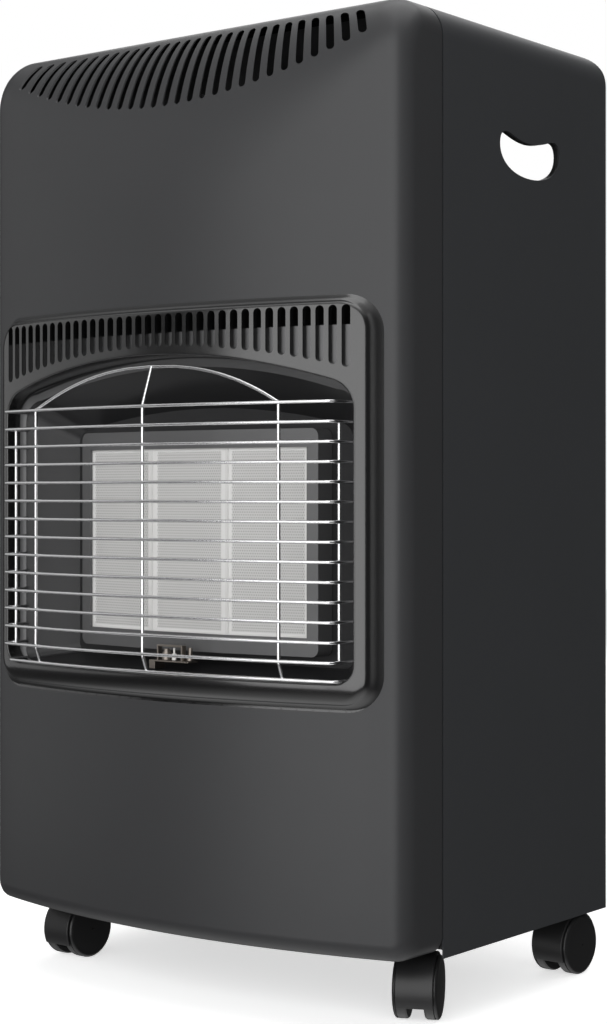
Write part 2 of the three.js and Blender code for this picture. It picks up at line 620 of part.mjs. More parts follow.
function reflectorHousing() {
  const outer = loft([housingRing(0, SHEET, HOUSING_FRONT_Y), housingRing(1, SHEET, HOUSING_BACK_Y)]);
  const inner = loft([housingRing(0, 0, HOUSING_FRONT_Y - SMALL), housingRing(1, 0, HOUSING_BACK_Y - SHEET)]);
  const window = box(-burnerHalf(), burnerHalf(), HOUSING_BACK_Y - 4 * SHEET, HOUSING_BACK_Y + SHEET,
    PLAQUE_BOTTOM - FRAME_LIP, PLAQUE_BOTTOM + PLAQUE_HEIGHT + FRAME_LIP);
  const flange = cut(
    alongY(roundedRect(OPENING_HALF + HOUSING_FLANGE, OPENING_BOTTOM - HOUSING_FLANGE, HOUSING_FLANGE_TOP,
      OPENING_LOW_CORNER), HOUSING_FRONT_Y, HOUSING_FRONT_Y + SHEET),
    loft([housingRing(0, SHEET / 2, HOUSING_FRONT_Y - 1), housingRing(0, SHEET / 2, HOUSING_FRONT_Y + 2 * SHEET)]));
  return part('reflector_housing', cut(join(outer, flange), inner, window), finish.darkSteel);
}

const sideShift = () => PLAQUE_WIDTH / 2 + GAP;
const burnerHalf = () => PLAQUE_WIDTH / 2 + (PLAQUE_WIDTH + 2 * GAP) * Math.cos(deg(PLAQUE_TURN)) + FRAME_LIP;

// Moves a piece that is drawn as the middle one to the left (-1), middle (0) or right (1) facet.
function onFacet(solid, facet) {
  const reach = facet * (PLAQUE_WIDTH / 2 + GAP);
  return at(at(solid, reach, 0, 0).rotate([0, 0, facet * PLAQUE_TURN]), facet * sideShift(), PLAQUE_FRONT_Y, 0);
}

const FACETS = [
  { name: 'left', side: -1 },
  { name: 'center', side: 0 },
  { name: 'right', side: 1 },
];

const venturiY = PLAQUE_FRONT_Y + PLAQUE_THICK + GAP + BURNER_DEPTH - VENTURI_RADIUS;

function plaque({ name, side }) {
  const tile = box(-PLAQUE_WIDTH / 2, PLAQUE_WIDTH / 2, 0, PLAQUE_THICK, PLAQUE_BOTTOM, PLAQUE_BOTTOM + PLAQUE_HEIGHT);
  const mitre = PLAQUE_WIDTH / 2 + 2 * GAP;
  const inner = side === 0 ? -mitre : Math.min(side * mitre, side * WIDTH);
  const outer = side === 0 ? mitre : Math.max(side * mitre, side * WIDTH);
  const room = box(inner, outer, -bow(0), CABINET_DEPTH, 0, CABINET_TOP);
  return part(`ceramic_plaque_${name}`, onFacet(tile, side).intersect(room), finish.ceramic);
}

function burnerBody({ name, side }) {
  const half = PLAQUE_WIDTH / 2 - BURNER_INSET;
  const front = PLAQUE_THICK + GAP;
  const low = PLAQUE_BOTTOM + GAP;
  const high = PLAQUE_BOTTOM + PLAQUE_HEIGHT - GAP;
  const pipeY = venturiY - PLAQUE_FRONT_Y;
  const chamber = join(
    box(-half, half, front, front + BURNER_DEPTH, low, high),
    at(pillar(VENTURI_RADIUS, low - VENTURI_DROP, low + SHEET, 14), 0, pipeY, 0));
  const hollow = join(
    box(-half + SHEET, half - SHEET, front - SHEET, front + BURNER_DEPTH - SHEET, low + SHEET, high - SHEET),
    at(pillar(VENTURI_RADIUS - SHEET, low - 2 * VENTURI_DROP, low + 2 * SHEET, 14), 0, pipeY, 0));
  return part(`burner_body_${name}`, onFacet(cut(chamber, hollow), side), finish.zinc);
}

function burnerFrame() {
  const turn = deg(PLAQUE_TURN);
  const wing = PLAQUE_WIDTH + 2 * GAP + FRAME_SIDE;
  const outline = (depth) => {
    const knee = sideShift();
    const tip = knee + wing * Math.cos(turn) - depth * Math.sin(turn);
    const tipY = PLAQUE_FRONT_Y + wing * Math.sin(turn) + depth;
    return [knee, tip, tipY, PLAQUE_FRONT_Y + depth];
  };
  const [knee, tip, tipY, kneeY] = outline(-FRAME_PROUD);
  const backY = HOUSING_BACK_Y - SHEET - GAP;
  const plan = polygon([[-tip, backY], [-tip, tipY], [-knee, kneeY], [knee, kneeY], [tip, tipY], [tip, backY]]);
  const low = PLAQUE_BOTTOM - FRAME_BORDER;
  const high = PLAQUE_BOTTOM + PLAQUE_HEIGHT + FRAME_BORDER;
  const body = alongZ(plan, low, high).intersect(alongY(roundedRect(tip, low, high, FRAME_BORDER / 2), -2 * bow(0), 0, 3));
  const bore = (grow, front, back) => FACETS.map(({ side }) => onFacet(
    box(-PLAQUE_WIDTH / 2 - grow - Math.abs(side) * GAP, PLAQUE_WIDTH / 2 + grow + Math.abs(side) * GAP, front, back,
      PLAQUE_BOTTOM - grow, PLAQUE_BOTTOM + PLAQUE_HEIGHT + grow), side));
  const joints = [-knee, knee].map((x) => box(x - 3 * FRAME_LIP, x + 3 * FRAME_LIP, -bow(0), PLAQUE_FRONT_Y - GAP,
    PLAQUE_BOTTOM + FRAME_LIP, PLAQUE_BOTTOM + PLAQUE_HEIGHT - FRAME_LIP));
  return part('burner_frame', cut(body, ...bore(-FRAME_LIP, -2 * FRAME_PROUD, PLAQUE_THICK),
    ...bore(GAP, -GAP, 3 * PLAQUE_THICK), ...joints), finish.darkSteel);
}

// ---------------------------------------------------------------- gas way

function injectorRail() {
  const sideX = sideShift() * (1 + Math.cos(deg(PLAQUE_TURN))) - Math.sin(deg(PLAQUE_TURN)) * (venturiY - PLAQUE_FRONT_Y);
  const sideY = PLAQUE_FRONT_Y + Math.sin(deg(PLAQUE_TURN)) * sideShift()
    + Math.cos(deg(PLAQUE_TURN)) * (venturiY - PLAQUE_FRONT_Y);
  const low = RAIL_Z - RAIL_SIZE / 2;
  const high = RAIL_Z + RAIL_SIZE / 2;
  const nozzleTop = PLAQUE_BOTTOM - VENTURI_DROP + 2;
  const reach = sideX + RAIL_SIZE;
  const tube = box(-reach, reach, venturiY - RAIL_SIZE / 2, sideY + RAIL_SIZE / 2, low, high);
  const feet = [-1, 1].map((sign) => box(sign * reach * 0.5 - RAIL_SIZE, sign * reach * 0.5 + RAIL_SIZE,
    sideY, SHIELD_Y - GAP, low, low + 2));
  const nozzles = [[-sideX, sideY], [0, venturiY], [sideX, sideY]].map(([x, y]) =>
    at(turned([[0, high - 1], [INJECTOR_RADIUS * 1.6, high - 1], [INJECTOR_RADIUS * 1.6, high + 6],
      [INJECTOR_RADIUS, high + 8], [INJECTOR_RADIUS, nozzleTop], [0, nozzleTop]], 10), x, y, 0));
  const inlet = at(leanedToY(pillar(PIPE_DIAMETER / 2 + GAP, 0, RAIL_SIZE, 12)), PIPE_X, sideY, RAIL_Z);
  return part('injector_rail', cut(join(tube, ...feet, ...nozzles), inlet), finish.brass);
}

const panelFloor = CABINET_TOP - PANEL_DISH;
const panelY = (PANEL_FRONT_Y + PANEL_BACK_Y) / 2;
const valveTop = panelFloor - PANEL_WALL - GAP;

function supplyPipe() {
  const z = valveTop - VALVE_HEIGHT / 2;
  const end = panelY - VALVE_DEPTH / 2 - GAP;
  const shieldBack = SHIELD_Y + SHEET;
  const bend = PIPE_DIAMETER * 2;
  const run = shieldBack + bend;
  const x = PIPE_X;
  const arc = (y, zc, from, to) => [0, 0.25, 0.5, 0.75, 1].map((t) => {
    const angle = deg(THREE.MathUtils.lerp(from, to, t));
    return [x, y + bend * Math.cos(angle), zc + bend * Math.sin(angle)];
  });
  return part('supply_pipe', rod([[x, end, z], ...arc(run + bend, z - bend, 90, 180),
    ...arc(run - bend, RAIL_Z + bend, 0, -90), [x, venturiY + RAIL_SIZE * 0.75, RAIL_Z]],
  PIPE_DIAMETER - 2 * GAP, [1, 0, 0], 8), finish.zinc);
}

function gasValve() {
  const left = KNOB_X - VALVE_WIDTH / 2;
  const block = box(left, left + VALVE_WIDTH, panelY - VALVE_DEPTH / 2, panelY + VALVE_DEPTH / 2,
    valveTop - VALVE_HEIGHT, valveTop);
  const bonnet = at(pillar(SPINDLE_RADIUS * 2.2, 0, PANEL_WALL + GAP + 1, 16), KNOB_X, panelY, valveTop - SMALL);
  const bore = at(pillar(SPINDLE_RADIUS + GAP, -VALVE_HEIGHT / 2, 3 * PANEL_WALL, 16), KNOB_X, panelY, valveTop);
  return part('gas_valve', cut(join(block, bonnet), bore), finish.zinc);
}

function valveSpindle() {
  const low = valveTop - VALVE_HEIGHT / 2 + GAP;
  const high = panelFloor + KNOB_TRAVEL + KNOB_HEIGHT / 2;
  return part('valve_spindle', at(pillar(SPINDLE_RADIUS, low, high, 16), KNOB_X, panelY, 0), finish.zinc);
}

function controlKnob() {
  const low = panelFloor + KNOB_TRAVEL + 2 * GAP + 1;
  const high = low + KNOB_HEIGHT;
  const drum = turned([[0, low], [KNOB_RADIUS, low], [KNOB_RADIUS, low + 3], [KNOB_RADIUS - 2, low + 5],
    [KNOB_RADIUS - 3, high - 1.5], [KNOB_RADIUS - 4.5, high], [0, high]], 28);
  const bonnetClear = pillar(SPINDLE_RADIUS * 2.2 + 2 * GAP, low - 1, low + 2, 16);
  const bore = pillar(SPINDLE_RADIUS + GAP, low - 1, low + KNOB_HEIGHT / 2 + KNOB_TRAVEL + 1, 16);
  const grip = box(-2, 2, -KNOB_RADIUS + 3, 0, high - 0.6, high + 1.2);
  return part('control_knob', at(cut(join(drum, grip), bonnetClear, bore), KNOB_X, panelY, 0), finish.black);
}

function controlPanel() {
  const side = PANEL_HALF - GAP;
  const front = PANEL_FRONT_Y + GAP;
  const back = PANEL_BACK_Y - GAP;
  const rimTop = CABINET_TOP + GAP + SHEET;
  const rim = box(-side - PANEL_RIM, side + PANEL_RIM, front - PANEL_RIM, back + PANEL_RIM, CABINET_TOP + GAP, rimTop);
  const tub = box(-side, side, front, back, panelFloor - PANEL_WALL, rimTop);
  const dish = box(-side + PANEL_WALL, side - PANEL_WALL, front + PANEL_WALL, back - PANEL_WALL, panelFloor, rimTop + 1);
  const spindleHole = at(pillar(SPINDLE_RADIUS * 2.2 + GAP, 0, 3 * PANEL_WALL, 16), KNOB_X, panelY,
    panelFloor - 2 * PANEL_WALL);
  const igniterHole = at(pillar(BUTTON_RADIUS + GAP, 0, 3 * PANEL_WALL, 16), BUTTON_X, panelY,
    panelFloor - 2 * PANEL_WALL);
  return part('control_panel', cut(join(rim, tub), dish, spindleHole, igniterHole), finish.black);
}

function piezoIgniter() {
  const top = panelFloor - PANEL_WALL - GAP;
  const body = at(pillar(IGNITER_RADIUS, top - IGNITER_LENGTH, top, 16), BUTTON_X, panelY, 0);
  const bore = at(pillar(BUTTON_RADIUS + GAP, top - IGNITER_LENGTH / 2, top + 1, 16), BUTTON_X, panelY, 0);
  return part('piezo_igniter', cut(body, bore), finish.black);
}

function igniterButton() {
  const low = panelFloor - PANEL_WALL - GAP - IGNITER_LENGTH / 2 + BUTTON_TRAVEL + 1;
  const high = panelFloor + BUTTON_HEIGHT;
  return part('igniter_button', at(turned([[0, low], [BUTTON_RADIUS, low], [BUTTON_RADIUS, high - 1],
    [BUTTON_RADIUS - 1, high], [0, high]], 16), BUTTON_X, panelY, 0), finish.red);
}

function inletNozzle() {
  const x = KNOB_X;
  const y = panelY + VALVE_DEPTH / 2 + GAP;
  const barb = turned([[0, 0], [7, 0], [7, 6], [4.2, 6], [5.2, 9], [4.2, 13], [5.2, 13.5], [4.2, 18], [0, 18]], 12);
  return part('inlet_nozzle', at(leanedToY(barb), x, y, valveTop - VALVE_HEIGHT / 2), finish.brass);
}

// ---------------------------------------------------------------- pilot
const PILOT_X = -6;
const PILOT_Y = -53;
const PILOT_BASE = 262;

function pilotBracket() {
  const foot = box(PILOT_X - 20, PILOT_X + 20, PILOT_Y - 4, PILOT_Y + 8, PILOT_BASE - 1.2, PILOT_BASE);
  const leg = box(PILOT_X - 20, PILOT_X - 14, PILOT_Y - 4, PILOT_Y + 8, OPENING_BOTTOM + 4 * GAP, PILOT_BASE);
  const post = (x) => box(x - 0.7, x + 0.7, PILOT_Y - 3, PILOT_Y + 2, PILOT_BASE - 0.6, PILOT_BASE + 12);
  const bridge = box(PILOT_X - 13, PILOT_X + 13, PILOT_Y - 3, PILOT_Y + 2, PILOT_BASE + 10.6, PILOT_BASE + 12);
  return part('pilot_bracket', join(foot, leg, post(PILOT_X - 12.3), post(PILOT_X + 12.3), bridge), finish.zinc);
}

function pilotBurner() {
  const low = PILOT_BASE + GAP;
  const hood = turned([[0, low], [4, low], [4, low + 5], [2.6, low + 7], [2.6, low + 8.5], [0, low + 8.5]], 10);
  return part('pilot_burner', at(hood, PILOT_X - 5, PILOT_Y, 0), finish.copper);
}

function sparkElectrode() {
  const low = PILOT_BASE + GAP;
  const stick = turned([[0, low], [1.8, low], [1.8, low + 5], [0.8, low + 5.2], [0.8, low + 9.5], [0, low + 9.5]], 8);
  return part('spark_electrode', at(stick, PILOT_X + 2.5, PILOT_Y, 0), finish.ceramic);
}

function thermocouple() {
  const low = PILOT_BASE + GAP;
  const tip = turned([[0, low], [3.2, low], [3.2, low + 4], [1.8, low + 4.5], [1.8, low + 10], [0, low + 10]], 8);
  return part('thermocouple', at(tip, PILOT_X + 17, PILOT_Y + 2, 0), finish.copper);
}

// ---------------------------------------------------------------- rear cover
function rearCover() {
  const low = TRAY_BOTTOM + SHEET + GAP;
  const y = CABINET_DEPTH + GAP;
  const sheetPlate = box(-REAR_COVER_HALF, REAR_COVER_HALF, y, y + SHEET, low, REAR_COVER_TOP);
  const ring = (inset, level) => {
    const half = REAR_COVER_HALF - inset;
    const corner = 10;
    return [[-half + corner, level, low + inset], [half - corner, level, low + inset],
      [half, level, low + inset + corner], [half, level, REAR_COVER_TOP - inset - corner],
      [half - corner, level, REAR_COVER_TOP - inset], [-half + corner, level, REAR_COVER_TOP - inset],
      [-half, level, REAR_COVER_TOP - inset - corner], [-half, level, low + inset + corner]];
  };
  const dome = (thin, start) => loft([ring(REAR_BULGE_INSET + thin, start),
    ring(REAR_BULGE_INSET + thin + REAR_BULGE_SLOPE * 0.45, y + REAR_BULGE * 0.72 - thin),
    ring(REAR_BULGE_INSET + thin + REAR_BULGE_SLOPE, y + REAR_BULGE - thin)]);
  const louvres = Array.from({ length: LOUVRE_COUNT }, (_, i) => {
    const z = low + REAR_BULGE_INSET + REAR_BULGE_SLOPE + 22 + i * 16;
    return box(-70, 70, y + REAR_BULGE / 2, y + 2 * REAR_BULGE, z, z + 5);
  });
  const shell = cut(join(sheetPlate, dome(0, y)), dome(SHEET, y - SMALL), ...louvres);
  const clearLip = HALF - SHEET - GAP - 2 * REAR_FLANGE + GAP;
  const corners = [-1, 1].map((sign) => box(Math.min(sign * clearLip, sign * HALF), Math.max(sign * clearLip, sign * HALF),
    y - SMALL, y + 2 * SHEET, 0, low + SHEET));
  return part('rear_cover', cut(shell, ...corners), finish.sidePaint);
}

// ---------------------------------------------------------------- casters
const hoodInner = WHEEL_RADIUS + HOOD_CLEARANCE;
const hoodOuter = hoodInner + HOOD_WALL;

function ringSector(inner, outer, from, to) {
  const shape = new THREE.Shape();
  shape.absarc(-CASTER_TRAIL, WHEEL_RADIUS, outer, from, to);
  shape.absarc(-CASTER_TRAIL, WHEEL_RADIUS, inner, to, from, true);
  return shape;
}

function caster({ name, x, y, turn }) {
  const group = new THREE.Group();
  group.position.set(x, y, 0);
  group.rotation.z = deg(turn);
  const onAxle = (solid) => at(leanedToX(solid), 0, -CASTER_TRAIL, WHEEL_RADIUS);
  const top = WHEEL_RADIUS + hoodOuter;
  const web = WHEEL_INNER - 2 * GAP;
  const plate = alongX(ringSector(AXLE_RADIUS + 2, hoodInner + GAP, 0, deg(200)), -web, web, 6);
  const hub = onAxle(pillar(AXLE_RADIUS + 3, -web, web, 10));
  const band = alongX(ringSector(hoodInner, hoodOuter, deg(28), deg(207)), -HOOD_HALF, HOOD_HALF, 7);
  const crown = box(-web, web, -web, web, top - 8, top);
  const axleBore = onAxle(pillar(AXLE_RADIUS + GAP, -HOOD_HALF, HOOD_HALF, 8));
  const stemBore = pillar(STEM_RADIUS + GAP, WHEEL_RADIUS + 6, top + 1, 12);
  group.add(part(`caster_hood_${name}`, cut(join(plate, hub, band, crown), axleBore, stemBore), finish.black));

  const stemTop = TRAY_BOTTOM + 18;
  group.add(part(`caster_stem_${name}`, pillar(STEM_RADIUS, WHEEL_RADIUS + 6 + GAP, stemTop, 12), finish.zinc));

  const reach = WHEEL_INNER + WHEEL_WIDTH - 3;
  group.add(part(`caster_axle_${name}`, onAxle(pillar(AXLE_RADIUS, -reach, reach, 8)), finish.zinc));

  for (const [side, sign] of [['left', -1], ['right', 1]]) {
    const r = WHEEL_RADIUS;
    const w = WHEEL_WIDTH;
    const disc = turned([[0, 0], [r, 0], [r, w - 2.5], [r - 3, w], [0, w]], 24);
    const bore = pillar(AXLE_RADIUS + GAP, -1, w - 3 + GAP, 8);
    const wheel = at(cut(disc, bore).rotate([0, sign * 90, 0]), sign * WHEEL_INNER, -CASTER_TRAIL, r);
    group.add(part(`caster_wheel_${name}_${side}`, wheel, finish.black));
  }

  const socket = join(pillar(SOCKET_RADIUS, TRAY_BOTTOM - 1, stemTop + 2, 14),
    pillar(SOCKET_RADIUS + 4, TRAY_BOTTOM - GAP - 3, TRAY_BOTTOM - GAP, 14));
  const socketBore = pillar(STEM_RADIUS + GAP, 0, stemTop + GAP, 12);
  group.add(part(`caster_socket_${name}`, cut(socket, socketBore), finish.black));
  return group;
}

// ---------------------------------------------------------------- assembly
const heater = new THREE.Group();
heater.name = 'portable_gas_cabinet_heater';
heater.add(
  cabinetWrap(), handleLiner(-1), handleLiner(1), baseTray(), heatShield(), frontCover(), grilleSurround(),
  wireGuard(), reflectorHousing(), burnerFrame(), ...FACETS.map(plaque), ...FACETS.map(burnerBody),
  injectorRail(), supplyPipe(), gasValve(), valveSpindle(), controlKnob(), controlPanel(), piezoIgniter(),
  igniterButton(), inletNozzle(), pilotBracket(), pilotBurner(), sparkElectrode(), thermocouple(), rearCover(),
  ...CASTERS.map(caster),
);

// The origin goes to the middle of the depth, between the guard's bow and the rear cover's bulge.
const frontY = guardFace(0, GUARD_PROUD) - Math.cos(deg(30)) * WIRE_DIAMETER / 2;
const rearY = CABINET_DEPTH + GAP + REAR_BULGE;
heater.position.y = -(frontY + rearY) / 2;

export default heater;
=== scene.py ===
"""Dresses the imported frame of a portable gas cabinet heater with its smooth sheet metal, wires, plaques and casters."""

import contextlib
import math

import bmesh
import bpy
import numpy as np
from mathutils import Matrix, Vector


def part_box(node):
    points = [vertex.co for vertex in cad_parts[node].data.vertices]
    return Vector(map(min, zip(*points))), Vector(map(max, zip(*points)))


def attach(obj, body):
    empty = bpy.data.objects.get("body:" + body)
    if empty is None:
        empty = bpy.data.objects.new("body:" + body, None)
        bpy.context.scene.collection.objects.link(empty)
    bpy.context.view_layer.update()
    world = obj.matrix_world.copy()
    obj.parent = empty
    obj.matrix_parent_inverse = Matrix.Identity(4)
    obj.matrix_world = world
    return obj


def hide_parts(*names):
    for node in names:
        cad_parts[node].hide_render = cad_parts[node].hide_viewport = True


bl_info = {
    "name": "Portable gas cabinet heater",
    "version": (1, 0, 0),
    "blender": (4, 5, 0),
    "location": "3D View > Sidebar > Heater",
    "description": "Builds the visible pieces and the finishes of a portable gas cabinet heater around its frame",
    "category": "Object",
}

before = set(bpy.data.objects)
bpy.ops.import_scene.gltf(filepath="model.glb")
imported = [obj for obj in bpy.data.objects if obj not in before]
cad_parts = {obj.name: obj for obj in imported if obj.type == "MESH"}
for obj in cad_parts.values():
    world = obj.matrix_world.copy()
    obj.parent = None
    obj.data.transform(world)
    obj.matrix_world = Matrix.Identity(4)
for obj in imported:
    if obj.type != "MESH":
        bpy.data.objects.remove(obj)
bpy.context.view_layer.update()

MM = 0.001
SEAM_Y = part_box("front_cover")[1].y
SIDES = (("left", -1), ("right", 1))

# Shapes are worked out in millimetres: x from the middle, y from the seam behind the front cover, z from the floor.
WIDTH = 420.0
HALF = WIDTH / 2
TOP = 752.0
SHEET = 1.2
GAP = 0.3
AHEAD = -120.0  # in front of the whole heater, where cuts through the front start

COVER_LOW = 54.0
SIDE_DEPTH = 46.0
BOW_DEPTH = 33.0
TOP_RADIUS = 27.0
SIDE_RADIUS = 13.0
LOW_RADIUS = 14.0
SHOULDER_BACK = 20.0
SHOULDER_HEIGHT = (27.0, 150.0)
VENT_SPAN = 172.06
VENT_COUNT = 29
VENT_FAN_Y = 135.0
VENT_LOW = (688.0, 36.0)
VENT_TOP = 744.0
WINDOW = (180.5, 247.0, 528.0, 14.0)  # half width, low, high, corner radius

CABINET_LOW = 51.0
CABINET_BACK = 240.0
SEAM_GROOVE = 2.0
REAR_RADIUS = 14.0
REAR_HOLE = (196.0, 706.0)  # half width, high
PANEL_HOLE = ((-82.0, 82.0), (150.0, 216.0), (748.0, 754.0))
LIP_INSETS = (1.8, 3.0)
LIP_DEPTHS = (-10.0, 3.2)
LIP_LOW = 74.0
GRIP_AT = (122.8, 653.0)
GRIP_HALF = 44.0
GRIP_UP = 15.6
GRIP_DOWN = 18.0
GRIP_SAG = 6.3
LINER_PROFILE = [(0.0, 0.0), (0.0, 4.5), (1.6, 4.5), (1.6, 1.6), (4.8, 1.6), (4.8, 0.0)]  # grow, depth

SURROUND_HALF = 194.5
SURROUND_Z = (233.0, 535.0)
SURROUND_RADIUS = 28.0
SURROUND_BEHIND = -30.0
FRAME_PROFILE = [(16, 8.0), (14.4, 8.0), (13.4, 7.97), (12.4, 7.87), (11.4, 7.65), (10.4, 7.3), (9.6, 6.9), (8.9, 6.35),
                 (8.3, 5.75), (7.8, 5.2), (7.3, 4.85), (6.6, 4.42), (5.5, 3.75), (4.4, 3.08), (3.6, 2.5), (2.7, 1.85),
                 (1.8, 1.25), (0.9, 0.65), (0.0, 0.1)]  # inset from the outer edge, height above the cover
FRAME_FLATTEN = 0.62
FOOT_ROLL = 0.00265
OPENING_HALF = 176.0
OPENING_LOW = 254.0
OPENING_TOP = 496.0
OPENING_FOOT_RADIUS = 14.0
OPENING_CORNER_RADIUS = 22.0
ARCH_RADIUS = 572.0
LIP_PROFILE = [(0.0, 6.6), (0.15, 7.3), (0.6, 7.85), (1.3, 8.1), (2.0, 8.12)]  # grow, height above the cover
SLOT_ROW = (502.0, 20.0, 527.0)  # low in the middle, drop towards the ends, high
SLOT_COUNT = 35
SLOT_SPAN = 171.02
BACKING_HALF = 174.4
BACKING_LOW = (3.0, 24.0)  # above the arch in the middle, drop towards the ends
BACKING_PROUD = (2.6, 1.6)

RECESS_FRONT = -50.0
RECESS_BACK = -14.0
RECESS_FLANGE = (190.0, 240.0, 513.0)
RECESS_NARROWS = 0.2
RECESS_BACK_Z = (260.0, 458.0)
ROOF_CROWN = (30.0, 17.0)  # at the opening, at the back
ROOF_CORNER = (20.0, 12.0)
FLOOR_CORNER = 8.0
BURNER_HOLE = (114.5, 279.0, 430.0)  # half width, low, high

WIRE_COUNT = 15
WIRE_TOP = 457.3
WIRE_PITCH = 14.42
WIRE_LOWEST = 256.2
GUARD_PROUD = 16.3
GUARD_LOW_PROUD = 11.0
GUARD_HALF = 167.0
GUARD_BOW = 29.0
GUARD_BEND = 6.0
GUARD_POST_X = 123.7
GUARD_SIDE_Y = -64.7
GUARD_ARCH_TOP = 488.0
GUARD_ARCH_Y = -82.5

PLAQUE = (75.0, 13.0, 147.0)
PLAQUE_Y = -40.0
PLAQUE_Z = 281.0
PLAQUE_TURN = 6.8
PLAQUE_FITS = (0.996, 0.992)  # share of the width that the middle and the outer plaques keep
FIELD_HALF = 33.2
FIELD_Z = (4.0, 143.0)
FIELD_STEP = (1.0, 1.2)  # width of the step round the field, across and up
FIELD_DEPTH = 0.35
JOINT_X = (37.4, 40.0)
JOINT_PROUD = 0.45

WHEEL_RADIUS = 24.0
WHEEL_INNER = 6.0
WHEEL_WIDTH = 12.0
CASTER_TRAIL = 14.0
HOOD_RADII = (24.6, 26.2)
HOOD_HALF = 14.2
HOOD_ARC = (28.0, 207.0)
BOSS_Z = (42.0, 50.1)
CASTERS = {
    "front_left": (-172.0, 29.0, -2.0),
    "front_right": (172.0, 29.0, 26.0),
    "rear_left": (-186.0, 228.4, 12.0),
    "rear_right": (186.0, 228.4, -2.0),
}

KNOB_AT = (-38.0, 183.0)
BUTTON_AT = (42.0, 183.0)
PANEL_FLOOR = 738.0
KNOB_LOW = PANEL_FLOOR + 6.6
KNOB_PROFILE = [(0, 0), (18.6, 0), (19, 0.5), (19, 2.6), (18, 4.0), (17, 5.2), (16.2, 15.5), (15.2, 17.8), (13.2, 18.9),
                (9, 19), (0, 18.6)]
KNOB_BORE = [(0, -1), (9.4, -1), (9.4, 2), (4.3, 2), (4.3, 15.5), (0, 15.5)]
KNOB_POINTER = ((-0.9, 0.9), (-15.5, -5.0), (18.4, 20.0))
DIAL_RING = (24.5, 28.5)

REAR_COVER = (196.0, 58.5, 640.0)  # half width, low, high
DOME_INSET = 70.0
DOME_FOOT = 24.0
DOME_HEIGHT = 50.0
DOME_RADIUS = 40.0
DOME_NARROWS = 0.2
REAR_CORNER = 8.0
LOUVRE_COUNT = 6
LOUVRE_HALF = 70.0
LOUVRE_WIDTH = 5.0
LOUVRE_Y = (262.0, 300.0)
LOUVRE_LOW = 153.0
LOUVRE_PITCH = 16.0


# ------------------------------------------------------------------ settings
def length(name, description, default):
    """A setting in metres."""
    return bpy.props.FloatProperty(name=name, description=description, default=default, unit="LENGTH")


def colour(name, description, default):
    """A setting for a colour."""
    return bpy.props.FloatVectorProperty(name=name, description=description, default=default, subtype="COLOR", size=3)


class HeaterSizes(bpy.types.PropertyGroup):
    """Sizes that may be changed without leaving the frame."""

    wire: length("Guard wire", "Diameter of the guard's horizontal wires", 0.0025)
    post: length("Guard post", "Diameter of the guard's uprights and arch", 0.0028)
    vent: length("Vent width", "Width of the slots in the cover's shoulder", 0.0058)
    slot: length("Grille slot width", "Width of the slots above the burner", 0.0066)
    perforation: length("Plaque pitch", "Spacing of the fine holes in the plaques", 0.0021)


class HeaterColours(bpy.types.PropertyGroup):
    """Colours of the painted and moulded pieces."""

    cover: colour("Cover paint", "Front cover", (0.034, 0.0344, 0.0361))
    cabinet: colour("Cabinet paint", "Cabinet and rear cover", (0.036, 0.0375, 0.0403))
    surround: colour("Surround paint", "Frame around the burner", (0.005, 0.005, 0.0053))
    ceramic: colour("Ceramic", "Burner plaques", (0.72, 0.715, 0.705))
    plastic: colour("Plastic", "Casters, grips and controls", (0.013, 0.013, 0.0135))


# ------------------------------------------------------------------ surfaces
def placed(points):
    """Millimetres from the seam become metres of the row frame: p / 1000, moved back by the seam's place."""
    return np.asarray(points, float).reshape(-1, 3) * MM + np.array((0.0, SEAM_Y, 0.0))


def xyz(x, y, z):
    """Points from three coordinates, each an array or one number."""
    return np.stack(np.broadcast_arrays(x, y, z), axis=-1)


def upright(outline, y):
    """An outline in (x, z) as points at depth y, which is one number or one for each point."""
    return np.insert(outline, 1, y, axis=1)


def grid_faces(rows, columns, loop_rows=False, loop_columns=False):
    """Quads over a grid: each point (r, c) is joined with (r, c+1), (r+1, c+1) and (r+1, c), wrapping where asked."""
    r = np.arange(rows if loop_rows else rows - 1)
    c = np.arange(columns if loop_columns else columns - 1)
    r, c = np.meshgrid(r, c, indexing="ij")
    below = (r + 1) % rows
    right = (c + 1) % columns
    return np.stack((r * columns + c, r * columns + right, below * columns + right, below * columns + c),
                    axis=-1).reshape(-1, 4)


def lofted(rings):
    """A closed skin over rings of equal length, each ring a loop, with a flat lid on the first and the last."""
    rings = np.asarray(rings, float)
    rows, columns = rings.shape[:2]
    faces = grid_faces(rows, columns, loop_columns=True).tolist()
    lid = np.arange(columns)
    return rings.reshape(-1, 3), faces + [lid[::-1].tolist(), (lid + (rows - 1) * columns).tolist()]


def wrapped(rings):
    """A closed skin over rings that are loops themselves and whose last ring joins the first, as on a torus."""
    rings = np.asarray(rings, float)
    rows, columns = rings.shape[:2]
    return rings.reshape(-1, 3), grid_faces(rows, columns, True, True).tolist()


def prism(outline, axis, low, high):
    """A flat outline pushed from low to high along axis 0, 1 or 2; its own two coordinates fill the other axes."""
    outline = np.asarray(outline, float)
    return lofted([np.insert(outline, axis, place, axis=1) for place in (low, high)])


def block(x, y, z):
    """A box between pairs of limits."""
    corners = [(x[0], z[0]), (x[1], z[0]), (x[1], z[1]), (x[0], z[1])]
    return prism(corners, 1, *y)


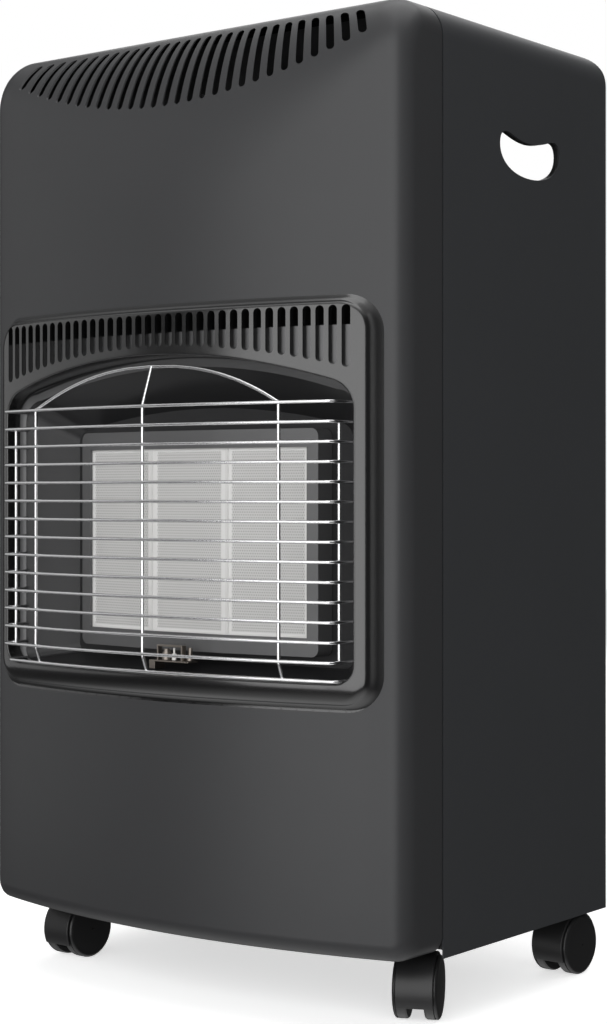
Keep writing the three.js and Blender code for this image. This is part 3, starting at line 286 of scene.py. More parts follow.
def tube(path, radius, normal):
    """Ten-sided circles of one radius, square to a path that lies in a plane with the given normal: the circle's axes
    are that normal and the cross product of the path's direction with it."""
    path = np.asarray(path, float)
    along = np.gradient(path, axis=0)
    along /= np.linalg.norm(along, axis=1, keepdims=True)
    normal = np.asarray(normal, float)
    side = np.cross(along, normal)
    side /= np.linalg.norm(side, axis=1, keepdims=True)
    angle = np.linspace(0, 2 * math.pi, 10, endpoint=False)
    ring = side[:, None, :] * np.cos(angle)[None, :, None] + normal * np.sin(angle)[None, :, None]
    return lofted(path[:, None, :] + ring * radius)


def turned(profile, steps=48, wave=None):
    """A profile of (radius, height) turned about the upright axis: x = r cos t, y = r sin t. The wave, a function of
    t, scales the radius."""
    profile = np.asarray(profile, float)
    angle = np.linspace(0, 2 * math.pi, steps, endpoint=False)
    scale = np.ones_like(angle) if wave is None else wave(angle)
    r = profile[:, 0] * scale[:, None]
    rings = xyz(r * np.cos(angle)[:, None], r * np.sin(angle)[:, None], profile[:, 1])
    return rings.reshape(-1, 3), grid_faces(steps, len(profile), True, profile[0, 0] > 0).tolist()


def spun(part, degrees, axis=2):
    """A part turned about one axis through the origin by the usual rotation matrix."""
    points, faces = part
    c, s = math.cos(math.radians(degrees)), math.sin(math.radians(degrees))
    matrix = {0: ((1, 0, 0), (0, c, -s), (0, s, c)), 1: ((c, 0, s), (0, 1, 0), (-s, 0, c)),
              2: ((c, -s, 0), (s, c, 0), (0, 0, 1))}[axis]
    return np.asarray(points) @ np.array(matrix).T, faces


def shifted(part, x=0.0, y=0.0, z=0.0):
    """A part moved by an offset."""
    return np.asarray(part[0]) + np.array((x, y, z)), part[1]


def arc(centre, radius, start, stop, count):
    """Points of a circle's arc: centre + radius (cos t, sin t), t in degrees."""
    angle = np.radians(np.linspace(start, stop, count))
    return np.stack((centre[0] + radius * np.cos(angle), centre[1] + radius * np.sin(angle)), axis=-1)


def rounded_rectangle(half, low, high, radius, corner=10, edge=1):
    """An outline with four quarter-circle corners; each straight run is cut in equal steps."""
    x, below, above = half - radius, low + radius, high - radius
    corners = [arc(centre, radius, start, start + 90, corner)
               for centre, start in (((x, below), -90), ((x, above), 0), ((-x, above), 90), ((-x, below), 180))]
    runs = []
    for here, there in zip(corners, corners[1:] + corners[:1]):
        t = np.linspace(0, 1, edge + 1)[1:-1, None]
        runs += [here, here[-1] * (1 - t) + there[0] * t]
    return np.concatenate(runs)


def stadium(middle, low, high, width):
    """A slot's outline: two half circles and two straight sides."""
    r = width / 2
    return np.concatenate((arc((middle, low + r), r, 180, 360, 8), arc((middle, high - r), r, 0, 180, 8)))


# ------------------------------------------------------------------ pieces
def linked(name, data):
    """A new object with its data, linked to the scene."""
    item = bpy.data.objects.new(name, data)
    bpy.context.scene.collection.objects.link(item)
    return item


@contextlib.contextmanager
def edited(mesh):
    """A mesh opened for editing and written back at the end."""
    work = bmesh.new()
    work.from_mesh(mesh)
    yield work
    work.to_mesh(mesh)
    work.free()


def raw_object(name, parts):
    """An object from parts in millimetres. Doubled points are merged, faces with no area dropped and the rest turned
    outwards."""
    points, faces, start = [], [], 0
    for part_points, part_faces in parts:
        part_points = np.asarray(part_points, float).reshape(-1, 3)
        points.append(part_points)
        faces += [[index + start for index in face] for face in part_faces]
        start += len(part_points)
    mesh = bpy.data.meshes.new(name)
    mesh.from_pydata(placed(np.concatenate(points)).tolist(), [], faces)
    with edited(mesh) as work:
        bmesh.ops.remove_doubles(work, verts=work.verts, dist=1e-6)
        bmesh.ops.dissolve_degenerate(work, edges=work.edges, dist=1e-7)
        bmesh.ops.recalc_face_normals(work, faces=work.faces)
    return linked(name, mesh)


def carve(piece, parts):
    """Cuts parts away with an exact boolean, whose result becomes the piece's own mesh."""
    tool = raw_object("carving_tool", parts)
    modifier = piece.modifiers.new("carve", "BOOLEAN")
    modifier.object = tool
    modifier.operation = "DIFFERENCE"
    modifier.solver = "EXACT"
    graph = bpy.context.evaluated_depsgraph_get()
    mesh = bpy.data.meshes.new_from_object(piece.evaluated_get(graph))
    piece.modifiers.clear()
    piece.data = mesh
    bpy.data.objects.remove(tool)


def finished(piece, finish, slot, body="cabinet", nodes=(), crease=32.0, bevel=0.0):
    """Gives a piece its finish, smooth shading up to the crease angle, a softened edge, its body and its nodes."""
    piece.data.materials.clear()
    piece.data.materials.append(FINISH[finish])
    if bevel:
        softened = piece.modifiers.new("soft edge", "BEVEL")
        softened.width = bevel * MM
        softened.segments = 2
        softened.limit_method = "ANGLE"
        softened.angle_limit = math.radians(crease)
        softened.harden_normals = True
    piece.data.shade_smooth()
    piece.data.set_sharp_from_angle(angle=math.radians(crease))
    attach(piece, body)
    if nodes:
        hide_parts(*nodes)


def shown(name, parts, finish, slot, cuts=(), **rest):
    """A piece made from parts, carved by each set of cutting parts in turn, and finished."""
    piece = raw_object(name, parts)
    for tools in cuts:
        carve(piece, tools)
    finished(piece, finish, slot, **rest)


def softened_node(node, finish, slot, bevel, body="cabinet", crease=32.0):
    """A copy of a node with merged points and softened edges, which stands for it."""
    piece = linked(f"{node}_finished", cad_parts[node].data.copy())
    with edited(piece.data) as work:
        bmesh.ops.remove_doubles(work, verts=work.verts, dist=1e-6)
        bmesh.ops.dissolve_limit(work, angle_limit=math.radians(0.5), verts=work.verts, edges=work.edges)
    finished(piece, finish, slot, body, (node,), crease, bevel)


# ------------------------------------------------------------------ finishes
HOLE_INNER, HOLE_OUTER = 0.14, 0.34  # radii in pitches between which a hole's edge fades
# painted shade: the colour of each hole and the field's darkening stand for the shade inside the holes
HOLE_SHADE = (0.42, 0.415, 0.405, 1.0)
FIELD_SHADE = 0.8
GROUPS = {}
FINISH = {}


def shader_group(name, inputs, outputs):
    """An empty node group with named sockets, and its input and output nodes."""
    group = bpy.data.node_groups.new(name, "ShaderNodeTree")
    for label, kind, default in inputs:
        socket = group.interface.new_socket(label, in_out="INPUT", socket_type=kind)
        if default is not None:
            socket.default_value = default
    for label, kind in outputs:
        group.interface.new_socket(label, in_out="OUTPUT", socket_type=kind)
    return group, group.nodes.new("NodeGroupInput"), group.nodes.new("NodeGroupOutput")


def node(tree, kind, settings=None, **links):
    """A shader node with its settings, and its inputs set to values or linked to sockets. An input is given by its
    name, or by its number behind an underscore."""
    made = tree.nodes.new("ShaderNode" + kind)
    for key, value in (settings or {}).items():
        setattr(made, key, value)
    for label, value in links.items():
        target = made.inputs[int(label[1:])] if label[0] == "_" else made.inputs[label.replace("_", " ")]
        if isinstance(value, bpy.types.NodeSocket):
            tree.links.new(value, target)
        else:
            target.default_value = value
    return made


def reckoned(tree, operation, *values):
    """The result of a math node over numbers or sockets."""
    inputs = {f"_{index}": value for index, value in enumerate(values)}
    return node(tree, "Math", {"operation": operation}, **inputs).outputs[0]


def grain_group():
    """Coated or moulded surface. Height is fine noise. Colour is the base, lightened and darkened by a broad noise.
    Roughness is the base plus a middle-sized noise."""
    group, source, result = shader_group(
        "Fine grain",
        [("Coordinates", "NodeSocketVector", None), ("Colour", "NodeSocketColor", (0.5, 0.5, 0.5, 1)),
         ("Colour spread", "NodeSocketFloat", 0.06), ("Grain scale", "NodeSocketFloat", 900.0),
         ("Roughness", "NodeSocketFloat", 0.4), ("Roughness spread", "NodeSocketFloat", 0.06)],
        [("Colour", "NodeSocketColor"), ("Roughness", "NodeSocketFloat"), ("Height", "NodeSocketFloat")])
    given = source.outputs

    def noise(scale, detail):
        return node(group, "TexNoise", Vector=given["Coordinates"], Scale=scale, Detail=detail).outputs["Fac"]

    fine, broad, middle = noise(given["Grain scale"], 3.0), noise(9.0, 2.0), noise(60.0, 4.0)
    swing = reckoned(group, "MULTIPLY_ADD", reckoned(group, "SUBTRACT", broad, 0.5), given["Colour spread"], 1.0)
    shade = node(group, "VectorMath", {"operation": "SCALE"}, _0=given["Colour"], Scale=swing)
    rough = reckoned(group, "MULTIPLY_ADD", reckoned(group, "SUBTRACT", middle, 0.5), given["Roughness spread"],
                     given["Roughness"])
    group.links.new(shade.outputs[0], result.inputs["Colour"])
    group.links.new(rough, result.inputs["Roughness"])
    group.links.new(fine, result.inputs["Height"])
    return group


def perforation_group():
    """Rows of round holes on a flat face: the distance from the nearest point of a staggered grid, in pitches, is
    set against the hole's inner and outer radius."""
    group, source, result = shader_group(
        "Perforation",
        [("Place", "NodeSocketVector", None), ("Pitch", "NodeSocketFloat", 2.6), ("Radius", "NodeSocketFloat", 0.3)],
        [("Hole", "NodeSocketFloat")])
    given = source.outputs
    apart = node(group, "SeparateXYZ", Vector=given["Place"])
    across = reckoned(group, "DIVIDE", apart.outputs["X"], given["Pitch"])
    up = reckoned(group, "DIVIDE", apart.outputs["Y"], given["Pitch"])
    odd = reckoned(group, "PINGPONG", reckoned(group, "FLOOR", up), 1.0)
    stagger = reckoned(group, "MULTIPLY_ADD", odd, 0.5, across)
    place = node(group, "CombineXYZ", X=reckoned(group, "FRACT", stagger), Y=reckoned(group, "FRACT", up))
    distance = node(group, "VectorMath", {"operation": "DISTANCE"}, _0=place.outputs[0], _1=(0.5, 0.5, 0.0))
    hole = node(group, "MapRange", {"interpolation_type": "SMOOTHSTEP"}, Value=distance.outputs["Value"],
                _1=given["Radius"], _2=HOLE_OUTER, _3=1.0, _4=0.0)
    group.links.new(hole.outputs[0], result.inputs["Hole"])
    return group


def coated(name, colour, roughness, metallic=0.0, grain=900.0, bump=0.04, spread=0.08, rough_spread=0.06,
           coat=0.0, stretch=(1.0, 1.0, 1.0), sheen_level=0.5):
    """A finish of one colour with fine grain, read from the piece's own coordinates."""
    material = bpy.data.materials.new(name)
    material.use_nodes = True
    tree = material.node_tree
    shader = tree.nodes["Principled BSDF"]
    where = node(tree, "TexCoord")
    mapped = node(tree, "Mapping", Vector=where.outputs["Object"], Scale=stretch)
    grained = node(tree, "Group", {"node_tree": GROUPS["grain"]}, Coordinates=mapped.outputs[0],
                   Colour=(*colour, 1.0), Colour_spread=spread, Grain_scale=grain, Roughness=roughness,
                   Roughness_spread=rough_spread)
    relief = node(tree, "Bump", Height=grained.outputs["Height"], Strength=bump, Distance=0.0003)
    tree.links.new(grained.outputs["Colour"], shader.inputs["Base Color"])
    tree.links.new(grained.outputs["Roughness"], shader.inputs["Roughness"])
    tree.links.new(relief.outputs["Normal"], shader.inputs["Normal"])
    shader.inputs["Metallic"].default_value = metallic
    shader.inputs["Specular IOR Level"].default_value = sheen_level
    shader.inputs["Coat Weight"].default_value = coat
    shader.inputs["Coat Roughness"].default_value = 0.15
    return material


def perforated_ceramic(colour, pitch):
    """Porous pale ceramic with fine staggered holes in a field, both read from the mesh: the place in millimetres from
    the UV map, the field from an attribute that is 1 inside and 0 outside. The holes are painted darker and the whole
    field a little darker, as painted shade inside the holes."""
    material = coated("Perforated ceramic", colour, 0.85, grain=2200.0, bump=0.25, spread=0.10, sheen_level=0.2)
    tree = material.node_tree
    shader = tree.nodes["Principled BSDF"]
    base = shader.inputs["Base Color"].links[0].from_socket
    where = node(tree, "UVMap", {"uv_map": "millimetres"})
    holes = node(tree, "Group", {"node_tree": GROUPS["perforation"]}, Place=where.outputs[0], Pitch=pitch,
                 Radius=HOLE_INNER)
    field = node(tree, "Attribute", {"attribute_name": "field"}).outputs["Fac"]
    inside = reckoned(tree, "MULTIPLY", holes.outputs["Hole"], field)
    # painted shade: the holes are darkened, then the whole field is darkened by the field shade
    dark = node(tree, "Mix", {"data_type": "RGBA"}, Factor=inside, _6=base, _7=HOLE_SHADE)
    shade = node(tree, "MapRange", Value=field, _3=1.0, _4=FIELD_SHADE)
    toned = node(tree, "VectorMath", {"operation": "SCALE"}, _0=dark.outputs[2], Scale=shade.outputs[0])
    tree.links.new(toned.outputs[0], shader.inputs["Base Color"])
    return material


def make_finishes(colours):
    """Every material of the heater, by its plain name."""
    GROUPS["grain"] = grain_group()
    GROUPS["perforation"] = perforation_group()
    cover, cabinet = tuple(colours.cover), tuple(colours.cabinet)
    surround, plastic = tuple(colours.surround), tuple(colours.plastic)
    pitch = bpy.context.scene.heater_sizes.perforation / MM
    return {
        "cover": coated("Cover paint", cover, 0.38, grain=1500.0, bump=0.03, sheen_level=0.35),
        "cabinet": coated("Cabinet paint", cabinet, 0.45, grain=1500.0, bump=0.03, sheen_level=0.35),
        "surround": coated("Surround paint", surround, 0.26, grain=1200.0, bump=0.02, coat=1.0),
        # painted shade: a near-black finish for the lip in the seam groove
        "seam": coated("Seam shadow", (0.004, 0.004, 0.004), 0.9, bump=0.0, sheen_level=0.1),
        "tray": coated("Tray paint", (0.02, 0.02, 0.021), 0.6, grain=900.0),
        "enamel": coated("Recess enamel", (0.028, 0.028, 0.0292), 0.3, metallic=0.3, grain=500.0, bump=0.03),
        "frame": coated("Burner frame enamel", (0.12, 0.12, 0.122), 0.4, metallic=0.4, grain=500.0, bump=0.05),
        "chrome": coated("Guard chrome", (0.84, 0.84, 0.85), 0.24, metallic=1.0, grain=700.0, bump=0.01),
        "zinc": coated("Zinc plate", (0.5, 0.51, 0.53), 0.38, metallic=0.9, grain=260.0, bump=0.05,
                       stretch=(1.0, 1.0, 0.15), spread=0.3),
        # painted shade: the zinc heat shield is made near-black so that the vents show only shade
        "shield": coated("Shield in painted shade", (0.008, 0.008, 0.008), 0.8, grain=500.0, sheen_level=0.15),
        "cast": coated("Cast alloy", (0.46, 0.46, 0.47), 0.55, metallic=0.85, grain=420.0, bump=0.2),
        "brass": coated("Brass", (0.58, 0.42, 0.19), 0.32, metallic=1.0, grain=600.0, bump=0.03, spread=0.25),
        "burnt": coated("Heat-tinted steel", (0.30, 0.27, 0.24), 0.4, metallic=1.0, grain=500.0, spread=0.5),
        "ceramic": perforated_ceramic(tuple(colours.ceramic), pitch),
        "joint": coated("Joint ceramic", (0.66, 0.655, 0.645), 0.85, grain=900.0, sheen_level=0.2),
        "porcelain": coated("Glazed ceramic", (0.8, 0.79, 0.76), 0.3, grain=800.0, coat=0.4),
        "plastic": coated("Moulded plastic", plastic, 0.42, grain=1400.0, bump=0.06),
        "wheel": coated("Wheel plastic", plastic, 0.34, grain=900.0, bump=0.03),
        "knob": coated("Knob plastic", (0.02, 0.02, 0.022), 0.3, grain=1500.0, bump=0.05),
        "mark": coated("White mark", (0.75, 0.75, 0.75), 0.5, grain=900.0),
        "button": coated("Button plastic", (0.32, 0.018, 0.015), 0.3, grain=1500.0, bump=0.03, coat=0.2),
    }


# ------------------------------------------------------------------ front cover
def bow(x):
    """How far the bowed face stands in front of the seam: the side's depth plus a parabola over the width."""
    return SIDE_DEPTH + BOW_DEPTH * (1 - (np.asarray(x, float) / HALF) ** 2)


def edge_drop(x, edge, radius):
    """How far a quarter circle of the radius has fallen away at x, near an edge."""
    over = np.clip(np.abs(x) - (edge - radius), 0, radius)
    return radius - np.sqrt(radius ** 2 - over ** 2)


def stations(half, radius, middle, corner):
    """Places across the width: even in the middle, closer on each rounded edge as the sine of an even angle."""
    flat = np.linspace(-(half - radius), half - radius, middle)
    bend = half - radius + radius * np.sin(np.linspace(0, math.pi / 2, corner + 1)[1:])
    bend[-1] = half - 1e-3
    return np.concatenate((-bend[::-1], flat, bend))


def cover_body(inset, back):
    """Upright slices across the width. Each runs from the back over a short flat top, down a quarter ellipse to the
    bowed face, round the foot by a quarter circle and back."""
    half = HALF - inset
    x = stations(half, TOP_RADIUS, 73, 14)
    top = TOP - inset - edge_drop(x, half, TOP_RADIUS - inset)
    low = COVER_LOW + inset + edge_drop(x, half, LOW_RADIUS - inset)
    depth = bow(x) - inset - edge_drop(x, half, SIDE_RADIUS - inset)
    height = SHOULDER_HEIGHT[0] + (SHOULDER_HEIGHT[1] - SHOULDER_HEIGHT[0]) * np.clip(1 - (x / HALF) ** 2, 0, 1)
    foot = LOW_RADIUS - inset
    t = np.linspace(0, math.pi / 2, 36)[:, None]
    y_shoulder = -SHOULDER_BACK - (depth - SHOULDER_BACK) * np.sin(t)
    z_shoulder = top - height * (1 - np.cos(t))
    t = np.linspace(0, math.pi / 2, 9)[:, None]
    y_foot = -depth + foot * (1 - np.cos(t))
    z_foot = low + foot * (1 - np.sin(t))
    ends = np.full((1, len(x)), back)
    y = np.concatenate((ends, y_shoulder, y_foot, ends))
    z = np.concatenate((top[None, :], z_shoulder, z_foot, low[None, :]))
    return lofted(xyz(x, y, z).transpose(1, 0, 2))


def vent_tools(width):
    """One upright slot per vent, turned about a far upright axis so that the row opens like a fan."""
    tools = []
    for x in np.linspace(-VENT_SPAN, VENT_SPAN, VENT_COUNT):
        low = VENT_LOW[0] + VENT_LOW[1] * (x / VENT_SPAN) ** 2
        outline = stadium(0, low, VENT_TOP, width)
        slot = prism(outline, 1, -VENT_FAN_Y - bow(0) - HALF / 3, -VENT_FAN_Y - SHOULDER_BACK)
        angle = math.degrees(math.atan2(x, VENT_FAN_Y + bow(x) - SHOULDER_BACK / 2))
        tools.append(shifted(spun(slot, angle), y=VENT_FAN_Y))
    return tools


class HEATER_OT_front_cover(bpy.types.Operator):
    """Bowed front cover: a thin shell with a rounded shoulder, a fan of vents and the burner window"""

    bl_idname = "heater.front_cover"
    bl_label = "Front cover"

    def execute(self, context):
        window = prism(rounded_rectangle(*WINDOW), 1, AHEAD, -1)
        vents = vent_tools(context.scene.heater_sizes.vent / MM)
        shown("front_cover_shell", [cover_body(0, 0)], "cover", "cover_paint",
              cuts=([cover_body(SHEET, 8.0)], [window], vents), nodes=("front_cover",), crease=30)
        return {"FINISHED"}


# ------------------------------------------------------------------ cabinet
def cabinet_outline(inset, low):
    """The cabinet's front elevation: upright sides and a top with quarter-circle edges."""
    half, radius, top = HALF - inset, TOP_RADIUS - inset, TOP - inset
    return np.concatenate(([(-half, low), (half, low)], arc((half - radius, top - radius), radius, 0, 90, 16),
                           arc((-half + radius, top - radius), radius, 90, 180, 16)))


def cabinet_body(inset, front, low):
    """The front elevation carried back; near the rear its height is capped by a quarter circle."""
    outline = cabinet_outline(inset, low)
    radius, back = REAR_RADIUS - inset, CABINET_BACK - inset
    t = np.radians(np.linspace(0, 90, 12))[:, None]
    y = np.concatenate(([[front]], back - radius + radius * np.sin(t)))
    cap = np.concatenate(([[TOP - inset]], TOP - inset - radius + radius * np.cos(t)))
    return lofted(xyz(outline[:, 0], y, np.minimum(outline[:, 1], cap)))


def seam_lip():
    """A band just inside the seam, painted near-black as the groove's shade, which follows the cabinet's elevation and
    ends in two level feet.
    """
    outer, inner = (cabinet_outline(inset, LIP_LOW)[2:] for inset in LIP_INSETS)
    front, back = LIP_DEPTHS
    corners = ((outer, front), (outer, back), (inner, back), (inner, front))
    strip = np.stack([upright(outline, y) for outline, y in corners], axis=1)
    feet = strip[[0, -1]] * (1, 1, 0) + (0, 0, LIP_LOW)
    return lofted(np.concatenate((feet[:1], strip, feet[1:])))


def bezier(*points):
    """A cubic Bezier curve through its two ends, without its last point."""
    a, b, c, d = (np.array(p, float) for p in points)
    t = np.linspace(0, 1, 14, endpoint=False)[:, None]
    return a * (1 - t) ** 3 + 3 * b * t * (1 - t) ** 2 + 3 * c * t * t * (1 - t) + d * t ** 3


def grip_outline(grow):
    """The kidney of a grip hole in (y, z): a deep lower curve, two upper horns and a sagging middle."""
    half, up, down = GRIP_HALF + grow, GRIP_UP + grow, GRIP_DOWN + grow
    waist = up - GRIP_SAG
    right = [bezier((0, -down), (half * 0.55, -down), (half, -down * 0.55), (half, up * 0.3)),
             bezier((half, up * 0.3), (half, up * 0.9), (half * 0.85, up * 1.05), (half * 0.68, up * 0.93)),
             bezier((half * 0.68, up * 0.93), (half * 0.5, up * 0.78), (half * 0.25, waist), (0, waist))]
    right = np.concatenate(right)
    left = np.concatenate(([(0, waist)], right[:0:-1] * (-1, 1)))
    return np.concatenate((right, left)) + GRIP_AT


def grip_liner(sign):
    """A closed ring behind the sheet: copies of the grip's outline, grown and set back by the liner's profile."""
    face = HALF - SHEET - GAP
    return wrapped([np.insert(grip_outline(grow), 0, sign * (face - depth), axis=1) for grow, depth in LINER_PROFILE])


class HEATER_OT_cabinet(bpy.types.Operator):
    """Cabinet sheet with its grip holes, the lip in the seam painted dark as its shade, and the moulded grips"""

    bl_idname = "heater.cabinet"
    bl_label = "Cabinet"

    def execute(self, context):
        half, high = REAR_HOLE
        rear_hole = block((-half, half), (CABINET_BACK - REAR_RADIUS, CABINET_BACK + 2), (0, high))
        grips = prism(grip_outline(0), 0, -HALF - 2, HALF + 2)
        shown("cabinet_shell", [cabinet_body(0, SEAM_GROOVE, CABINET_LOW)], "cabinet", "cabinet_paint",
              cuts=([cabinet_body(SHEET, -5, 0)], [rear_hole], [grips], [block(*PANEL_HOLE)]),
              nodes=("cabinet_wrap",), crease=30)
        # the lip is painted near-black as the shade in the seam groove
        shown("seam_lip", [seam_lip()], "seam", "cabinet_paint")
        for name, sign in SIDES:
            shown(f"grip_liner_{name}", [grip_liner(sign)], "plastic", "black_plastic",
                  nodes=(f"handle_liner_{name}",), bevel=0.3)
        softened_node("base_tray", "tray", "tray_steel", 0.3)
        # the heat shield, zinc plated, gets a near-black finish as painted shade behind the vents
        softened_node("heat_shield", "shield", "zinc", 0.3)
        return {"FINISHED"}


# ------------------------------------------------------------------ grille surround
def opening_outline(grow):
    """The burner opening in (x, z): straight sides, small lower corners and a low arch, grown by an offset."""
    half, low = OPENING_HALF + grow, OPENING_LOW - grow
    small, corner, radius = (r + grow for r in (OPENING_FOOT_RADIUS, OPENING_CORNER_RADIUS, ARCH_RADIUS))
    centre = OPENING_TOP - ARCH_RADIUS
    corner_x = half - corner
    corner_z = centre + math.sqrt((radius - corner) ** 2 - corner_x ** 2)
    meet = math.degrees(math.atan2(corner_z - centre, corner_x))
    t = np.linspace(0, 1, 40)[1:-1, None]
    low_run = np.array((-half + small, low)) * (1 - t) + np.array((half - small, low)) * t
    return np.concatenate((low_run, arc((half - small, low + small), small, -90, 0, 10),
                           arc((corner_x, corner_z), corner, 0, meet, 14),
                           arc((0, centre), radius, meet, 180 - meet, 72)[1:-1],
                           arc((-corner_x, corner_z), corner, 180 - meet, 180, 14),
                           arc((-half + small, low + small), small, 180, 270, 10)))


def surround_plate():
    """Rounded rectangles carried on the bow. From the middle outwards they follow the frame's rolled profile and then
    return behind it to the middle. Along the top and the foot the inset is shortened by a constant factor. Below the
    opening the height falls with the square of the distance, so that the foot rolls down."""
    fill = (0.02, 0.2, 0.4, 0.6, 0.8, 0.93, 0.955, 0.98)
    low, high = SURROUND_Z
    middle = np.array((0, (low + high) / 2))
    inmost, full = FRAME_PROFILE[0]
    behind = full / 2

    def ring(inset, proud, share=1.0):
        rise = inset * FRAME_FLATTEN
        outline = rounded_rectangle(SURROUND_HALF - inset, low + rise, high - rise, SURROUND_RADIUS - inset * 0.8,
                                    corner=12, edge=26)
        outline = middle + (outline - middle) * share
        rolled = FOOT_ROLL * np.clip(OPENING_LOW - outline[:, 1], 0, None) ** 2
        return upright(outline, -bow(outline[:, 0]) - np.maximum(proud * (1 - rolled), 0.05))

    rings = [ring(inmost, full, share) for share in fill]
    rings += [ring(*pair) for pair in FRAME_PROFILE]
    rings += [ring(3, 0.05), ring(14, behind), *[ring(inmost, behind, share) for share in fill[::-1]]]
    return lofted(rings)


def slot_backing():
    """A thin bowed strip close behind the slots, from just above the arch to the upper edge of the recess's flange."""
    x = np.linspace(-BACKING_HALF, BACKING_HALF, 73)[:, None]
    near, far = (-bow(x) - proud for proud in BACKING_PROUD)
    rise, drop = BACKING_LOW
    low, high = OPENING_TOP + rise - drop * (x / BACKING_HALF) ** 2, np.full_like(x, RECESS_FLANGE[2])
    return lofted(xyz(x, np.hstack((near, near, far, far)), np.hstack((low, high, high, low))))


def opening_sleeve():
    """The wall inside the opening: it starts as a rounded lip on the bowed face and runs straight back to the
    recess."""
    rings = []
    for grow, proud in LIP_PROFILE:
        outline = opening_outline(grow)
        rings.append(upright(outline, -bow(outline[:, 0]) - proud))
    rings += [upright(opening_outline(grow), RECESS_FRONT - GAP) for grow in (2.0, 0.0)]
    return wrapped(rings)


class HEATER_OT_surround(bpy.types.Operator):
    """Bowed, stepped frame round the burner opening, with its row of upright slots"""

    bl_idname = "heater.surround"
    bl_label = "Grille surround"

    def execute(self, context):
        width = context.scene.heater_sizes.slot / MM
        low, drop, high = SLOT_ROW
        slots = [prism(stadium(share * SLOT_SPAN, low - drop * share ** 2, high, width), 1, AHEAD, SURROUND_BEHIND)
                 for share in np.linspace(-1, 1, SLOT_COUNT)]
        opening = prism(opening_outline(1.0), 1, AHEAD, SURROUND_BEHIND)
        shown("grille_surround_plate", [surround_plate()], "surround", "surround_paint", cuts=([opening], slots),
              nodes=("grille_surround",), crease=34)
        shown("opening_sleeve", [opening_sleeve()], "surround", "surround_paint", crease=40)
        return {"FINISHED"}


# ------------------------------------------------------------------ wire guard
def guard_face(x, proud):
    """The guard's depth at x: a parabola of its own, a little flatter than the cover's bow."""
    return -bow(0) - proud + GUARD_BOW * (np.asarray(x, float) / HALF) ** 2


def guard_wire(index, radius):
    """One wire: straight back at each end, a quarter-circle bend, and the bow between."""
    lowest = index == WIRE_COUNT - 1
    z = WIRE_LOWEST if lowest else WIRE_TOP - index * WIRE_PITCH
    proud = GUARD_LOW_PROUD if lowest else GUARD_PROUD
    bend_x = GUARD_HALF - GUARD_BEND
    bend_y = guard_face(bend_x, proud) + GUARD_BEND
    corner = arc((bend_x, bend_y), GUARD_BEND, 0, -78, 8)
    x = np.linspace(bend_x - 4, -bend_x + 4, 60)
    front = np.stack((x, guard_face(x, proud)), axis=-1)
    half = np.concatenate(([(GUARD_HALF, RECESS_FRONT), (GUARD_HALF, bend_y + 3)], corner))
    plan = np.concatenate((half, front, half[::-1] * (-1, 1)))
    path = np.column_stack((plan, np.full(len(plan), z)))
    return tube(path, radius, (0, 0, 1))


def guard_arch(back, radius):
    """The arched top rod: it rises from two posts through a small bend into a shallow arch."""
    t = np.linspace(0, 1, 22)
    x = GUARD_POST_X * np.cos(t * math.pi / 2) ** 0.62
    foot = guard_face(GUARD_POST_X, GUARD_PROUD) + back
    rise = GUARD_ARCH_TOP - WIRE_TOP
    z = WIRE_TOP + rise * (1 - (np.abs(x) / GUARD_POST_X) ** 2.2)
    y = np.interp(z, (WIRE_TOP, WIRE_TOP + rise * 0.3), (foot, GUARD_ARCH_Y))
    leg = [(GUARD_POST_X, foot, WIRE_TOP - k) for k in (6, 3)]
    half = np.concatenate((leg, xyz(x, y, z)))
    return tube(np.concatenate((half, half[-2::-1] * (-1, 1, 1))), radius, (0, -1, 0))


class HEATER_OT_guard(bpy.types.Operator):
    """Welded wire guard: bowed wires, uprights behind them and an arched rod on top"""

    bl_idname = "heater.guard"
    bl_label = "Wire guard"

    def execute(self, context):
        sizes = context.scene.heater_sizes
        wire, post = sizes.wire / MM / 2, sizes.post / MM / 2
        back = wire + post - 0.5
        low = WIRE_TOP - (WIRE_COUNT - 1.9) * WIRE_PITCH
        parts = [guard_wire(index, wire) for index in range(WIRE_COUNT)]
        for x in (-GUARD_POST_X, 0.0, GUARD_POST_X):
            y = guard_face(x, GUARD_PROUD) + back
            foot = guard_face(x, GUARD_LOW_PROUD) + back
            t = np.linspace(0, 1, 6)
            bend = xyz(x, y + (foot - y) * t, low - (low - WIRE_LOWEST + 1) * t)
            parts.append(tube([(x, y, WIRE_TOP + post), (x, y, low + 2), *bend], post, (1, 0, 0)))
        for _, sign in SIDES:
            x = sign * (GUARD_HALF - back)
            path = [(x, GUARD_SIDE_Y, WIRE_TOP - WIRE_PITCH * (WIRE_COUNT - 2) - 1),
                    (x, GUARD_SIDE_Y, WIRE_TOP - WIRE_PITCH + 1)]
            parts.append(tube(path, post, (1, 0, 0)))
        tie = [(0, guard_face(0, GUARD_PROUD) + back, WIRE_TOP), (0, GUARD_ARCH_Y, GUARD_ARCH_TOP)]
        parts += [guard_arch(back, post), tube(tie, post, (1, 0, 0))]
        shown("wire_guard_rods", parts, "chrome", "guard_chrome", nodes=("wire_guard",), crease=50)
        return {"FINISHED"}


